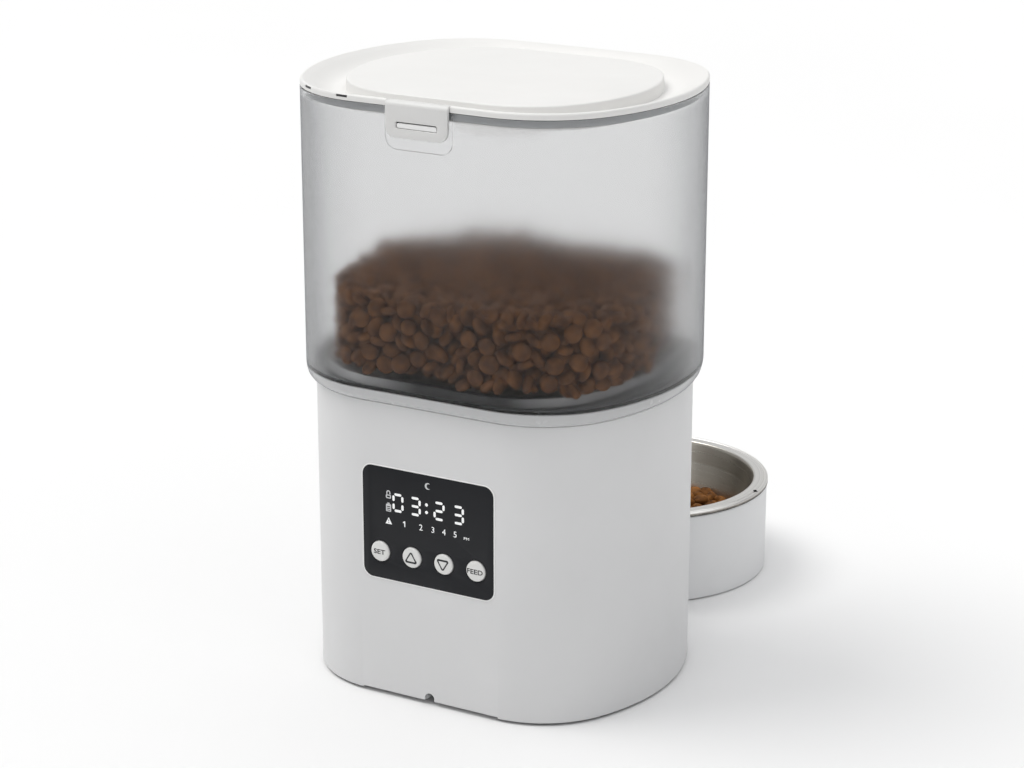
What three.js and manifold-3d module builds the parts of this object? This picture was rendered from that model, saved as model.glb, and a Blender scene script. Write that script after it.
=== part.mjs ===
// Automatic pet feeder: a frosted hopper with a lift-off lid on a motor base, with a portion wheel,
// a food chute and a round bowl in a holder in front. Millimetres, +Z up.
// The bowl is towards -Y, the control panel is on the flat rear face towards +Y.
import * as THREE from "three";
import { mergeVertices } from "three/addons/utils/BufferGeometryUtils.js";
import Module from "manifold-3d";

const wasm = await Module();
wasm.setup();

// ---------------------------------------------------------------- driving dimensions
// Plan outline: a flat rear and front, corner arcs, and large end arcs. HOP_* is the hopper's outside.
const HOP_A = 100.0; // half length along X
const HOP_B = 82.7; // half depth along Y
const FLAT = 37.6; // half length of each flat
const CORNER_R = 56.0; // corner arc of the hopper's outside
const BODY_IN = 5.1; // the base's outside is this far inside the hopper's outside
const WALL = 2.6; // base wall
const HOP_WALL = 2.4; // hopper wall

const Z_BODY_LOW = 1.5; // lower edge of the base shell, above the floor
const Z_BODY_TOP = 158.2; // upper edge of the base shell
const Z_HOP_LOW = 158.5; // lower edge of the hopper
const Z_HOP_TOP = 308.6; // upper edge of the hopper
const Z_LID_LOW = 309.0; // lower edge of the lid's rim
const Z_LID_TOP = 312.2;

const PANEL_W = 75.9, PANEL_Z0 = 64.4, PANEL_Z1 = 124.1, PANEL_R = 5.3;
const BUTTON_R = 5.4, BUTTON_Z = 78.8, BUTTON_PITCH = 18.6;

const WELL_R = 56.2, WELL_OUT = 58.4, WELL_FLOOR = 129.5, WELL_LOW = 127.0;
const ROTOR_R = 54.0, ROTOR_Z0 = 130.3, ROTOR_Z1 = 151.8, VANES = 6;
const DECK_Z = 124.8; // top of the drive plate under the well

const BOWL_Y = -159.8, BOWL_RIM_R = 71.0, BOWL_RIM_Z = 52.6, HOLDER_R = 70.4;

const GEAR_M = 1.3, PINION_T = 10, WHEEL_T = 20;
const CENTRES = (GEAR_M * (PINION_T + WHEEL_T)) / 2; // 19.5 between gear axes
const GEAR_Z = 94.0; // underside of the gearbox

const LATCH_W = 34.7, LATCH_IN = 82.8, LATCH_FACE = 84.7, LATCH_Z0 = 294.3, PIVOT_Y = 80.6, PIVOT_Z = 310.5;

// The frame's origin is the middle of the whole feeder's footprint, on the floor.
const REAR = LATCH_FACE, FRONT = BOWL_Y - BOWL_RIM_R;
const SHIFT_Y = -(REAR + FRONT) / 2;

// ---------------------------------------------------------------- helpers
const V2 = (x, y) => new THREE.Vector2(x, y);

function solid(geometry) {
  const g = geometry.index ? geometry.toNonIndexed() : geometry.clone();
  const bare = new THREE.BufferGeometry().setAttribute("position", g.getAttribute("position"));
  const m = mergeVertices(bare, 1e-4);
  return new wasm.Manifold(
    new wasm.Mesh({ numProp: 3, vertProperties: m.attributes.position.array, triVerts: new Uint32Array(m.index.array) }),
  );
}
function geometryOf(s) {
  const m = s.getMesh(), n = m.numProp, v = new Float32Array(m.numVert * 3);
  for (let i = 0; i < m.numVert; i++) v.set(m.vertProperties.subarray(i * n, i * n + 3), i * 3);
  const g = new THREE.BufferGeometry();
  g.setAttribute("position", new THREE.BufferAttribute(v, 3));
  g.setIndex(new THREE.BufferAttribute(new Uint32Array(m.triVerts), 1));
  g.computeVertexNormals();
  return g;
}
const join = (...gs) => geometryOf(gs.map(solid).reduce((a, b) => a.add(b)));
const cut = (g, ...tools) => geometryOf(tools.map(solid).reduce((a, b) => a.subtract(b), solid(g)));
const common = (a, b) => geometryOf(solid(a).intersect(solid(b)));
function at(g, x = 0, y = 0, z = 0, rx = 0, ry = 0, rz = 0) {
  const m = new THREE.Matrix4().compose(
    new THREE.Vector3(x, y, z),
    new THREE.Quaternion().setFromEuler(new THREE.Euler(rx, ry, rz)),
    new THREE.Vector3(1, 1, 1),
  );
  return g.clone().applyMatrix4(m);
}
const box = (x0, x1, y0, y1, z0, z1) =>
  at(new THREE.BoxGeometry(x1 - x0, y1 - y0, z1 - z0), (x0 + x1) / 2, (y0 + y1) / 2, (z0 + z1) / 2);
// A cylinder or cone standing along Z.
const rod = (r, z0, z1, x = 0, y = 0, n = 24, rTop = r) =>
  at(new THREE.CylinderGeometry(rTop, r, z1 - z0, n), x, y, (z0 + z1) / 2, Math.PI / 2, 0, 0);
const rodX = (r, x0, x1, y, z, n = 16) =>
  at(new THREE.CylinderGeometry(r, r, x1 - x0, n), (x0 + x1) / 2, y, z, 0, 0, Math.PI / 2);
const rodY = (r, y0, y1, x, z, n = 24) => at(new THREE.CylinderGeometry(r, r, y1 - y0, n), x, (y0 + y1) / 2, z);
// A profile of [radius, z] points turned about Z. Points run anticlockwise in the (r, z) half plane.
const turned = (pts, n = 32) => {
  const g = new THREE.LatheGeometry(pts.map(([r, z]) => V2(r, z)), n);
  return at(g, 0, 0, 0, Math.PI / 2, 0, 0);
};
function extrude(shape, z0, z1, seg = 4, bevel = 0) {
  const g = new THREE.ExtrudeGeometry(shape, {
    depth: z1 - z0 - 2 * bevel,
    curveSegments: seg,
    steps: 1,
    bevelEnabled: bevel > 0,
    bevelThickness: bevel,
    bevelSize: bevel,
    bevelOffset: -bevel,
    bevelSegments: 2,
  });
  return at(g, 0, 0, z0 + bevel);
}
// A shape drawn in (x, z) and extruded along +Y from y0 to y1.
function extrudeY(shape, y0, y1, seg = 4) {
  const g = extrude(shape, -y1, -y0, seg);
  return at(g, 0, 0, 0, Math.PI / 2, 0, 0);
}
// A shape drawn in (y, z) and extruded along +X from x0 to x1.
function extrudeX(shape, x0, x1, seg = 4) {
  const g = extrude(shape, x0, x1, seg);
  const m = new THREE.Matrix4().set(0, 0, 1, 0, 1, 0, 0, 0, 0, 1, 0, 0, 0, 0, 0, 1);
  return g.applyMatrix4(m);
}
function poly(points) {
  const s = new THREE.Shape();
  s.moveTo(...points[0]);
  for (const p of points.slice(1)) s.lineTo(...p);
  s.closePath();
  return s;
}
function roundRect(x0, x1, y0, y1, r) {
  const s = new THREE.Shape();
  s.moveTo(x1, y0 + r);
  s.lineTo(x1, y1 - r);
  s.absarc(x1 - r, y1 - r, r, 0, Math.PI / 2, false);
  s.lineTo(x0 + r, y1);
  s.absarc(x0 + r, y1 - r, r, Math.PI / 2, Math.PI, false);
  s.lineTo(x0, y0 + r);
  s.absarc(x0 + r, y0 + r, r, Math.PI, 1.5 * Math.PI, false);
  s.lineTo(x1 - r, y0);
  s.absarc(x1 - r, y0 + r, r, 1.5 * Math.PI, 2 * Math.PI, false);
  return s;
}

// ---------------------------------------------------------------- plan outline
// One quarter is an end arc about (A - R2, 0), a corner arc about (FLAT, B - r1) and half of a flat.
function outlinePoints(A, B, flat, r1, nEnd = 3, nCorner = 5, nFlat = 1) {
  const u = A - flat;
  const r2 = (u * u + B * B - 2 * B * r1) / (2 * (u - r1));
  const c2 = A - r2, ang = Math.atan2(B - r1, flat - c2), q = [];
  for (let i = 0; i <= nEnd; i++) q.push([c2 + r2 * Math.cos((ang * i) / nEnd), r2 * Math.sin((ang * i) / nEnd)]);
  for (let i = 1; i <= nCorner; i++) {
    const t = ang + ((Math.PI / 2 - ang) * i) / nCorner;
    q.push([flat + r1 * Math.cos(t), B - r1 + r1 * Math.sin(t)]);
  }
  for (let i = 1; i <= nFlat / 2; i++) q.push([flat * (1 - (2 * i) / nFlat), B]);
  const left = q.slice().reverse().filter(([x]) => x > 1e-9).map(([x, y]) => [-x, y]);
  const upper = [...q, ...left]; // from (A, 0) over the rear flat to (-A, 0)
  const lower = upper.slice(1, -1).reverse().map(([x, y]) => [x, -y]);
  return [...upper, ...lower];
}
// The outline a distance inside the hopper's outside.
const inset = (off) => outlinePoints(HOP_A - off, HOP_B - off, FLAT, CORNER_R - off);
const circle = (r, like) => like.map((_, i) => [r * Math.cos((i * 2 * Math.PI) / like.length), r * Math.sin((i * 2 * Math.PI) / like.length)]);
const planShape = (off) => poly(inset(off));
function planRing(offOut, offIn, z0, z1) {
  const s = planShape(offOut);
  s.holes.push(planShape(offIn));
  return extrude(s, z0, z1);
}
// Skins a list of rings ({ pts, z }) that run down the outside. capped: fans close both ends; otherwise the rings close on themselves.
function skin(rings, capped) {
  const n = rings[0].pts.length, pos = [], tri = [];
  for (const r of rings) for (const [x, y] of r.pts) pos.push(x, y, r.z);
  const m = rings.length;
  for (let k = 0; k < (capped ? m - 1 : m); k++) {
    const a = k * n, b = ((k + 1) % m) * n;
    for (let i = 0; i < n; i++) {
      const j = (i + 1) % n;
      tri.push(a + i, b + i, b + j, a + i, b + j, a + j);
    }
  }
  if (capped) {
    const first = pos.length / 3;
    pos.push(0, 0, rings[0].z);
    const last = pos.length / 3;
    pos.push(0, 0, rings[m - 1].z);
    const e = (m - 1) * n;
    for (let i = 0; i < n; i++) {
      const j = (i + 1) % n;
      tri.push(first, i, j);
      tri.push(last, e + j, e + i);
    }
  }
  const g = new THREE.BufferGeometry();
  g.setAttribute("position", new THREE.Float32BufferAttribute(pos, 3));
  g.setIndex(tri);
  return g;
}

// ---------------------------------------------------------------- materials
const mat = (color, roughness, metalness = 0, extra = {}) => new THREE.MeshStandardMaterial({ color, roughness, metalness, ...extra });
const M = {
  bodyWhite: mat(0xe6e6e4, 0.42),
  lidWhite: mat(0xf1f0ee, 0.4),
  frosted: mat(0xdadcde, 0.35, 0, { transparent: true, opacity: 0.45 }),
  dark: mat(0x2b2c2e, 0.5),
  bezel: mat(0x2e2f33, 0.3),
  key: mat(0xdcdcda, 0.45),
  steel: mat(0xb9b5ae, 0.25, 1),
  zinc: mat(0xa8aaae, 0.35, 1),
  brass: mat(0xb79a5b, 0.35, 1),
  rubber: mat(0x3a3b3d, 0.85),
  silicone: mat(0x8d9094, 0.6),
  softWhite: mat(0xe9e6df, 0.65),
  gear: mat(0xe7e2d2, 0.5),
  board: mat(0x1f5b3a, 0.5),
  lamp: mat(0x1a1b1e, 0.25),
  cell: mat(0x3f4d63, 0.4),
  paper: mat(0xf3f1ea, 0.8),
};

const root = new THREE.Group();
root.name = "pet_feeder";
root.position.y = SHIFT_Y;
function put(name, geometry, material, parent = root) {
  const mesh = new THREE.Mesh(geometry, material);
  mesh.name = name;
  parent.add(mesh);
  return mesh;
}

// ================================================================ base
const BO = BODY_IN; // outside of the base shell, from the hopper's outside
const BI = BODY_IN + WALL; // its inside
{
  // Shell: a tube with a ledge near its top, a window for the panel at the rear, a food outlet and a holder slot at the front.
  let g = planRing(BO, BI, Z_BODY_LOW, Z_BODY_TOP);
  g = join(g, planRing(BI - 0.6, BI + 2.6, 147.4, 149.8));
  const window = extrudeY(roundRect(-PANEL_W / 2 - 0.35, PANEL_W / 2 + 0.35, PANEL_Z0 - 0.35, PANEL_Z1 + 0.35, PANEL_R + 0.3), 60, 90, 3);
  const outlet = extrudeY(roundRect(-20.4, 20.4, 62.6, 100.6, 0.5), -90, -60, 1);
  const slot = box(-22.6, 22.6, -90, -60, 4.6, 9.6);
  const notch = join(rodY(2.8, 60, 90, 0, 3.7, 16), box(-2.8, 2.8, 60, 90, -2, 3.7));
  const relief = box(-40, 40, 60, 90, 0, 2.5); // the rear flat's lower edge is 1 mm higher
  g = cut(g, window, outlet, slot, notch, relief);
  put("base_shell", g, M.bodyWhite);
}
const POSTS = [[68, 36], [-68, 36], [-68, -36], [68, -36]];
const EARS = [[21.5, 12], [-21.5, 12], [0, 55.4]];
{
  // Deck under the hopper: a plate with a round hole for the hopper's well, and four long screw posts.
  let g = extrude(planShape(BI + 0.4), 150.1, 152.6);
  g = cut(g, rod(64.0, 140, 160, 0, 0, 32));
  g = join(g, ...POSTS.map(([x, y]) => rod(4, 4.8, 151, x, y, 8)));
  g = cut(g, ...POSTS.map(([x, y]) => rod(1.6, 4, 20, x, y, 6)));
  put("base_deck", g, M.bodyWhite);
  // Drive plate: a disc under the well that hangs from the deck on four pillars, with stubs for the gearbox and a rail for the main board.
  const pillar = (deg) => rod(2.6, DECK_Z - 1, 149.8, 64.6 * Math.cos((deg * Math.PI) / 180), 64.6 * Math.sin((deg * Math.PI) / 180), 8);
  let d = rod(67.2, DECK_Z - 2.4, DECK_Z, 0, 0, 32);
  d = join(d, ...[35, 145, 215, 325].map(pillar), ...EARS.map(([x, y]) => rod(3.2, GEAR_Z + 22.1, DECK_Z - 2, x, y, 8)), box(52.9, 54.9, -8, 8, 92, DECK_Z - 1));
  d = cut(d, rod(9.6, 110, 130, 0, 0, 20), extrude(roundRect(-17, 17, -51.5, -23.6, 3), 110, 140, 2));
  put("drive_plate", d, M.softWhite);
}
// Battery bay, open downwards, with three D cells lying along X.
const CELL_R = 16.6, CELL_L = 60.5, CELL_Z = 22.6, CELL_Y = [-40.5, -5.5, 29.5];
const BAY = { x0: -36.2, x1: 36.2, y0: -59.6, y1: 48.4, z1: 42.4 };
{
  // Bottom cover: a plate with the bay's opening, the plug recess, screw counterbores and foot pockets.
  let g = extrude(planShape(BI + 0.4), 1.8, 4.3);
  // plug recess: a hood over a channel that runs out to the rear notch
  const hood = box(-12, 12, 52.2, 67.6, 4, 20.0);
  g = join(g, hood);
  const channel = box(-9.8, 9.8, 54.4, 65.6, -1, 17.8);
  const lane = box(-2.8, 2.8, 60, 90, -1, 3.6 + 2.9);
  g = cut(g, channel, lane);
  // hole for the socket in the hood's inner wall
  g = cut(g, box(-5.6, 5.6, 50, 56, 5.0, 14.4));
  g = cut(g, box(BAY.x0 + 1.2, BAY.x1 - 1.2, BAY.y0 + 1.2, BAY.y1 - 1.2, 0, 6));
  g = cut(g, ...POSTS.map(([x, y]) => rod(1.9, 0, 8, x, y, 10)), ...POSTS.map(([x, y]) => rod(3.6, 0, 2.9, x, y, 12)));
  put("bottom_cover", g, M.bodyWhite);
}
{
  // Rubber feet: curved strips under the four corner arcs.
  const footShape = (r0, r1, a0, a1) => {
    const s = new THREE.Shape(), rm = (r0 + r1) / 2, w = (r1 - r0) / 2;
    s.absarc(0, 0, r1, a0, a1, false);
    s.absarc(rm * Math.cos(a1), rm * Math.sin(a1), w, a1, a1 + Math.PI, false);
    s.absarc(0, 0, r0, a1, a0, true);
    s.absarc(rm * Math.cos(a0), rm * Math.sin(a0), w, a0 + Math.PI, a0 + 2 * Math.PI, false);
    return s;
  };
  const cy = HOP_B - CORNER_R, rOut = CORNER_R - BI - 1.0, rIn = rOut - 6.0;
  const one = extrude(footShape(rIn, rOut, (36 * Math.PI) / 180, (82 * Math.PI) / 180), 0, 1.5, 3);
  const quads = [[1, 1], [-1, 1], [-1, -1], [1, -1]];
  quads.forEach(([sx, sy], i) => {
    let s = solid(at(one, FLAT, cy, 0));
    if (sx < 0) s = s.mirror([1, 0, 0]);
    if (sy < 0) s = s.mirror([0, 1, 0]);
    put(`foot_${i + 1}`, geometryOf(s), M.rubber);
  });
}
const screw = (headZ, r, headR, headH, len) =>
  turned([[0, headZ], [headR, headZ], [headR, headZ + headH * 0.6], [headR * 0.6, headZ + headH], [r, headZ + headH], [r, headZ + len - 1.4], [0, headZ + len]], 8);
POSTS.forEach(([x, y], i) => put(`cover_screw_${i + 1}`, at(cut(screw(1.6, 1.0, 3.0, 1.0, 14), box(-0.4, 0.4, -2, 2, 1.2, 2.1), box(-2, 2, -0.4, 0.4, 1.2, 2.1)), x, y, 0), M.zinc));
{
  // Battery tray: a box open at the bottom, with ribs that cradle the cells.
  let g = box(BAY.x0, BAY.x1, BAY.y0, BAY.y1, 4.7, BAY.z1);
  g = cut(g, box(BAY.x0 + 1.6, BAY.x1 - 1.6, BAY.y0 + 1.6, BAY.y1 - 1.6, 0, BAY.z1 - 1.8));
  const rib = (x) => cut(box(x - 0.8, x + 0.8, BAY.y0 + 1, BAY.y1 - 1, CELL_Z + 6, BAY.z1 - 1), ...CELL_Y.map((y) => rodX(CELL_R + 0.9, x - 2, x + 2, y, CELL_Z, 20)));
  g = join(g, rib(-18), rib(18));
  put("battery_tray", g, M.dark);
  CELL_Y.forEach((y, i) => {
    const flip = i % 2 ? -1 : 1;
    const c = turned([[0, 0], [CELL_R - 1, 0], [CELL_R, 1], [CELL_R, CELL_L - 3.5], [CELL_R - 1, CELL_L - 2.2], [4.6, CELL_L - 2.2], [4.6, CELL_L - 0.4], [4.0, CELL_L], [0, CELL_L]], 20);
    put(`battery_${i + 1}`, at(c, flip > 0 ? -CELL_L / 2 : CELL_L / 2, y, CELL_Z, 0, (flip * Math.PI) / 2, 0), M.cell);
  });
  // Contact strips at both ends: a spring cone for each negative end and a flat button for each positive end.
  const strip = (sx) => {
    const plate = box(Math.min(sx * 33.6, sx * 34.2), Math.max(sx * 33.6, sx * 34.2), BAY.y0 + 8, BAY.y1 - 8, CELL_Z - 7, CELL_Z + 7);
    const bits = CELL_Y.map((y, i) => {
      const flip = i % 2 ? -1 : 1, positive = flip * sx > 0;
      const h = 2.9, r1 = positive ? 3.2 : 6.0, r2 = positive ? 3.0 : 3.4;
      const cone = at(new THREE.CylinderGeometry(r2, r1, h, 14), sx * (33.8 - h / 2), y, CELL_Z, 0, 0, sx > 0 ? Math.PI / 2 : -Math.PI / 2);
      return cone;
    });
    return join(plate, ...bits);
  };
  put("battery_contacts_left", strip(-1), M.zinc);
  put("battery_contacts_right", strip(1), M.zinc);
  // Door: a plate that closes the bay, with a thumb ridge and a snap tongue.
  let d = extrude(roundRect(BAY.x0 + 1.6, BAY.x1 - 1.6, BAY.y0 + 1.6, BAY.y1 - 1.6, 2), 1.8, 3.8, 2);
  d = join(d, box(-8, 8, BAY.y1 - 3.4, BAY.y1 - 2.0, 3.6, 6.0));
  d = cut(d, box(-7, 7, BAY.y1 - 12.2, BAY.y1 - 11, 1, 2.4), box(-7, 7, BAY.y1 - 9.6, BAY.y1 - 8.4, 1, 2.4));
  put("battery_door", d, M.bodyWhite);
}
{
  // Power socket in the plug recess: a block with a round socket and its centre pin, facing the rear.
  let g = box(-5.3, 5.3, 43.0 + 6.0, 54.1, 5.3, 14.1);
  g = cut(g, rodY(3.0, 50.6, 60, 0, 9.7, 16));
  g = join(g, rodY(0.9, 49.6, 53.6, 0, 9.7, 10));
  put("power_socket", g, M.dark);
}
// ---------------------------------------------------------------- chute
const CH_W = 17.0; // half width of the passage
{
  const outer = poly([[-21.4, 122.0], [-53.6, 122.0], [-53.6, 115.4], [-74.2, 102.0], [-74.2, 63.4], [-69.2, 63.4], [-21.4, 111.2]]);
  const inner = poly([[-23.6, 130], [-51.4, 130], [-51.4, 114.2], [-72.6, 100.0], [-80, 98.6], [-80, 60.0], [-74.2, 65.6], [-71.2, 65.6], [-71.2, 66.0], [-23.6, 113.6]]);
  let g = extrudeX(outer, -CH_W - 2, CH_W + 2);
  g = cut(g, extrudeX(inner, -CH_W, CH_W));
  g = cut(g, rodX(2.85, -30, 30, -62.0, 92.0, 12));
  put("food_chute", g, M.bodyWhite);
  const led = (sx) => at(turned([[0, 0], [2.0, 0.4], [2.4, 1.6], [2.4, 4.4], [3.2, 4.4], [3.2, 6.2], [0, 6.2]], 12), sx * 16.0, -62.0, 92.0, 0, (sx * Math.PI) / 2, 0);
  put("ir_emitter", led(1), M.lamp);
  put("ir_receiver", led(-1), M.lamp);
  // Outlet nozzle: a frame with a hood, through the front wall.
  let n = extrudeX(poly([[-74.6, 63.0], [-74.6, 100.2], [-79.0, 100.2], [-79.0, 63.0]]), -20.0, 20.0);
  const hood = extrudeX(poly([[-78.0, 58.8], [-78.0, 104.4], [-81.2, 104.4], [-86.6, 98.0], [-86.6, 90.0], [-80.6, 58.8]]), -23.4, 23.4);
  n = join(n, hood);
  n = cut(n, extrudeX(poly([[-70, 66.0], [-70, 98.0], [-79.0, 98.0], [-84.2, 92.4], [-90, 92.4], [-90, 62.6], [-79.0, 62.6], [-74.0, 66.0]]), -CH_W - 0.6, CH_W + 0.6));
  put("outlet_nozzle", n, M.bodyWhite);
}
// ---------------------------------------------------------------- control panel
const FACE = HOP_B - BODY_IN; // outside plane of the base's rear flat
const KEYS = [1.5, 0.5, -0.5, -1.5].map((k) => k * BUTTON_PITCH);
{
  let g = extrudeY(roundRect(-PANEL_W / 2, PANEL_W / 2, PANEL_Z0, PANEL_Z1, PANEL_R), FACE - 1.9, FACE + 0.4, 3);
  const flange = extrudeY(roundRect(-PANEL_W / 2 - 1.8, PANEL_W / 2 + 1.8, PANEL_Z0 - 2.4, PANEL_Z1 + 2.4, PANEL_R), FACE - WALL - 2.0, FACE - WALL - 0.55, 2);
  const neck = extrudeY(roundRect(-PANEL_W / 2, PANEL_W / 2, PANEL_Z0, PANEL_Z1, PANEL_R), FACE - WALL - 0.6, FACE - 1.8, 3);
  const hollow = extrudeY(roundRect(-PANEL_W / 2 + 3, PANEL_W / 2 - 3, PANEL_Z0 + 3, PANEL_Z1 - 3, 2), FACE - 8, FACE - 1.9, 2);
  g = cut(join(g, neck, flange), hollow, ...KEYS.map((x) => rodY(BUTTON_R + 0.35, FACE - 8, FACE + 4, x, BUTTON_Z, 20)));
  put("display_bezel", g, M.bezel);
  // Board with four push switches and a connector.
  let b = box(-34.5, 34.5, FACE - 11.4, FACE - 9.8, PANEL_Z0 + 3.6, PANEL_Z1 - 3.6);
  b = join(b, ...KEYS.map((x) => box(x - 3, x + 3, FACE - 10.0, FACE - 6.2, BUTTON_Z - 3, BUTTON_Z + 3)), box(-8, 8, FACE - 16.0, FACE - 11.2, 84, 90));
  put("control_board", b, M.board);
  put("led_module", extrudeY(roundRect(-29, 29, 90.6, 117.6, 1), FACE - 9.4, FACE - 2.3, 2), M.lamp);
}
// ---------------------------------------------------------------- main board
{
  let b = box(51.0, 52.6, -28, 30, 52, 104);
  b = join(b, box(44.0, 51.2, -22, -10, 58, 72), at(new THREE.CylinderGeometry(5, 5, 13, 16), 45.0, 16, 66, 0, 0, Math.PI / 2), box(48, 51.2, -4, 8, 80, 92), box(46, 51.2, 14, 26, 84, 96));
  put("main_board", b, M.board);
}

// ---------------------------------------------------------------- drive
function gearShape(teeth, phase, bore = 0) {
  const PA = (25 * Math.PI) / 180, rp = (GEAR_M * teeth) / 2, rb = rp * Math.cos(PA);
  const ra = rp + 0.85 * GEAR_M, rf = rp - 1.15 * GEAR_M, backlash = 0.2;
  const inv = (r) => { const a = Math.acos(Math.min(1, rb / r)); return Math.tan(a) - a; };
  const half = Math.PI / (2 * teeth) - backlash / 2 / rp + (Math.tan(PA) - PA);
  const r0 = Math.max(rb, rf + 0.05), pts = [];
  for (let t = 0; t < teeth; t++) {
    const c = phase + (t * 2 * Math.PI) / teeth;
    const P = (r, a) => pts.push([r * Math.cos(c + a), r * Math.sin(c + a)]);
    const wr = half - inv(r0);
    P(rf, -wr - 0.03);
    P((r0 + rp) / 2, -(half - inv((r0 + rp) / 2)));
    P(ra, -(half - inv(ra)));
    P(ra, half - inv(ra));
    P((r0 + rp) / 2, half - inv((r0 + rp) / 2));
    P(rf, wr + 0.03);
  }
  const s = poly(pts);
  if (bore) {
    const h = new THREE.Path();
    h.absarc(0, 0, bore, 0, 2 * Math.PI, true);
    s.holes.push(h);
  }
  return s;
}
// Axes in a row along +Y: the output, the idler, then the motor. At rest each wheel has a tooth on the line of centres and its neighbour a gap there.
const Y_IDLER = CENTRES, Y_MOTOR = 2 * CENTRES;
const UP = Math.PI / 2, DOWN = -Math.PI / 2;
{
  const Z = GEAR_Z;
  const hex = (r) => poly([...Array(6)].map((_, i) => [r * Math.cos((i * Math.PI) / 3), r * Math.sin((i * Math.PI) / 3)]));
  let g = join(extrude(gearShape(WHEEL_T, UP), Z + 11.4, Z + 16.4), rod(3.0, Z + 2.8, Z + 23.4, 0, 0, 16), rod(5.0, Z + 10.7, Z + 17.4, 0, 0, 16), extrude(hex(3.9), Z + 23.0, 134.8));
  put("output_gear", g, M.gear);
  // idler: the small wheel meets the output gear, the large wheel meets the motor pinion
  const small = extrude(gearShape(PINION_T, DOWN + Math.PI / PINION_T), Z + 9.6, Z + 17.2);
  const large = extrude(gearShape(WHEEL_T, UP), Z + 4.8, Z + 9.8);
  const idler = cut(join(small, large), rod(1.75, 80, 130, 0, 0, 12));
  put("idler_gear", at(idler, 0, Y_IDLER, 0), M.gear);
  put("idler_axle", rod(1.4, Z + 2.7, Z + 19.1, 0, Y_IDLER, 12), M.zinc);
  const pinion = join(extrude(gearShape(PINION_T, DOWN + Math.PI / PINION_T), Z + 4.2, Z + 10.4), rod(1.2, Z + 0.2, Z + 12.4, 0, 0, 12));
  put("motor_pinion", at(pinion, 0, Y_MOTOR, 0), M.brass);

  const boxShape = (grow) => {
    const s = new THREE.Shape(), r = 16.4 + grow;
    s.absarc(0, Y_MOTOR - 5, r, 0, Math.PI, false);
    s.absarc(0, 0, r, Math.PI, 2 * Math.PI, false);
    return s;
  };
  let base = extrude(boxShape(1.6), Z, Z + 19.1, 8);
  base = cut(base, extrude(boxShape(0), Z + 2.4, Z + 30, 8), rod(2.0, Z - 8, Z + 4, 0, Y_MOTOR, 12));
  put("gearbox_base", base, M.dark);
  let cover = join(extrude(boxShape(1.6), Z + 19.4, Z + 21.8, 8), ...EARS.map(([x, y]) => rod(4.2, Z + 19.4, Z + 21.8, x, y, 10)));
  cover = cut(cover, rod(5.4, 100, 130, 0, 0, 16));
  put("gearbox_cover", cover, M.dark);
  put("shaft_bush", cut(rod(5.1, Z + 19.3, Z + 22.6, 0, 0, 16), rod(3.3, 100, 130, 0, 0, 16)), M.brass);
  let motor = rod(13.8, Z - 31, Z - 0.4, 0, Y_MOTOR, 20);
  motor = join(motor, rod(5, Z - 34, Z - 30, 0, Y_MOTOR, 12), box(-9, -6.6, Y_MOTOR - 1.5, Y_MOTOR + 1.5, Z - 35, Z - 30), box(6.6, 9, Y_MOTOR - 1.5, Y_MOTOR + 1.5, Z - 35, Z - 30));
  motor = cut(motor, rod(2.2, Z - 3, Z + 2, 0, Y_MOTOR, 12));
  put("feed_motor", motor, M.zinc);
}

// ================================================================ hopper
// A point on the middle of the hopper's inner lip, in the direction of (x, y).
function onLip(x, y) {
  const c = [Math.sign(x) * FLAT, Math.sign(y) * (HOP_B - CORNER_R)];
  const d = Math.hypot(x - c[0], y - c[1]), r = CORNER_R - 12.0;
  return [c[0] + ((x - c[0]) / d) * r, c[1] + ((y - c[1]) / d) * r];
}
// A sector of a ring about the middle, half degrees either side of -Y.
function sector(r0, r1, half) {
  const a0 = ((-90 - half) * Math.PI) / 180, a1 = ((-90 + half) * Math.PI) / 180;
  const s = new THREE.Shape();
  s.absarc(0, 0, r1, a0, a1, false);
  s.absarc(0, 0, r0, a1, a0, true);
  return s;
}
const LIPS = [[56, 66], [-56, 66], [-56, -66], [56, -66]].map(([x, y]) => onLip(x, y));
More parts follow.
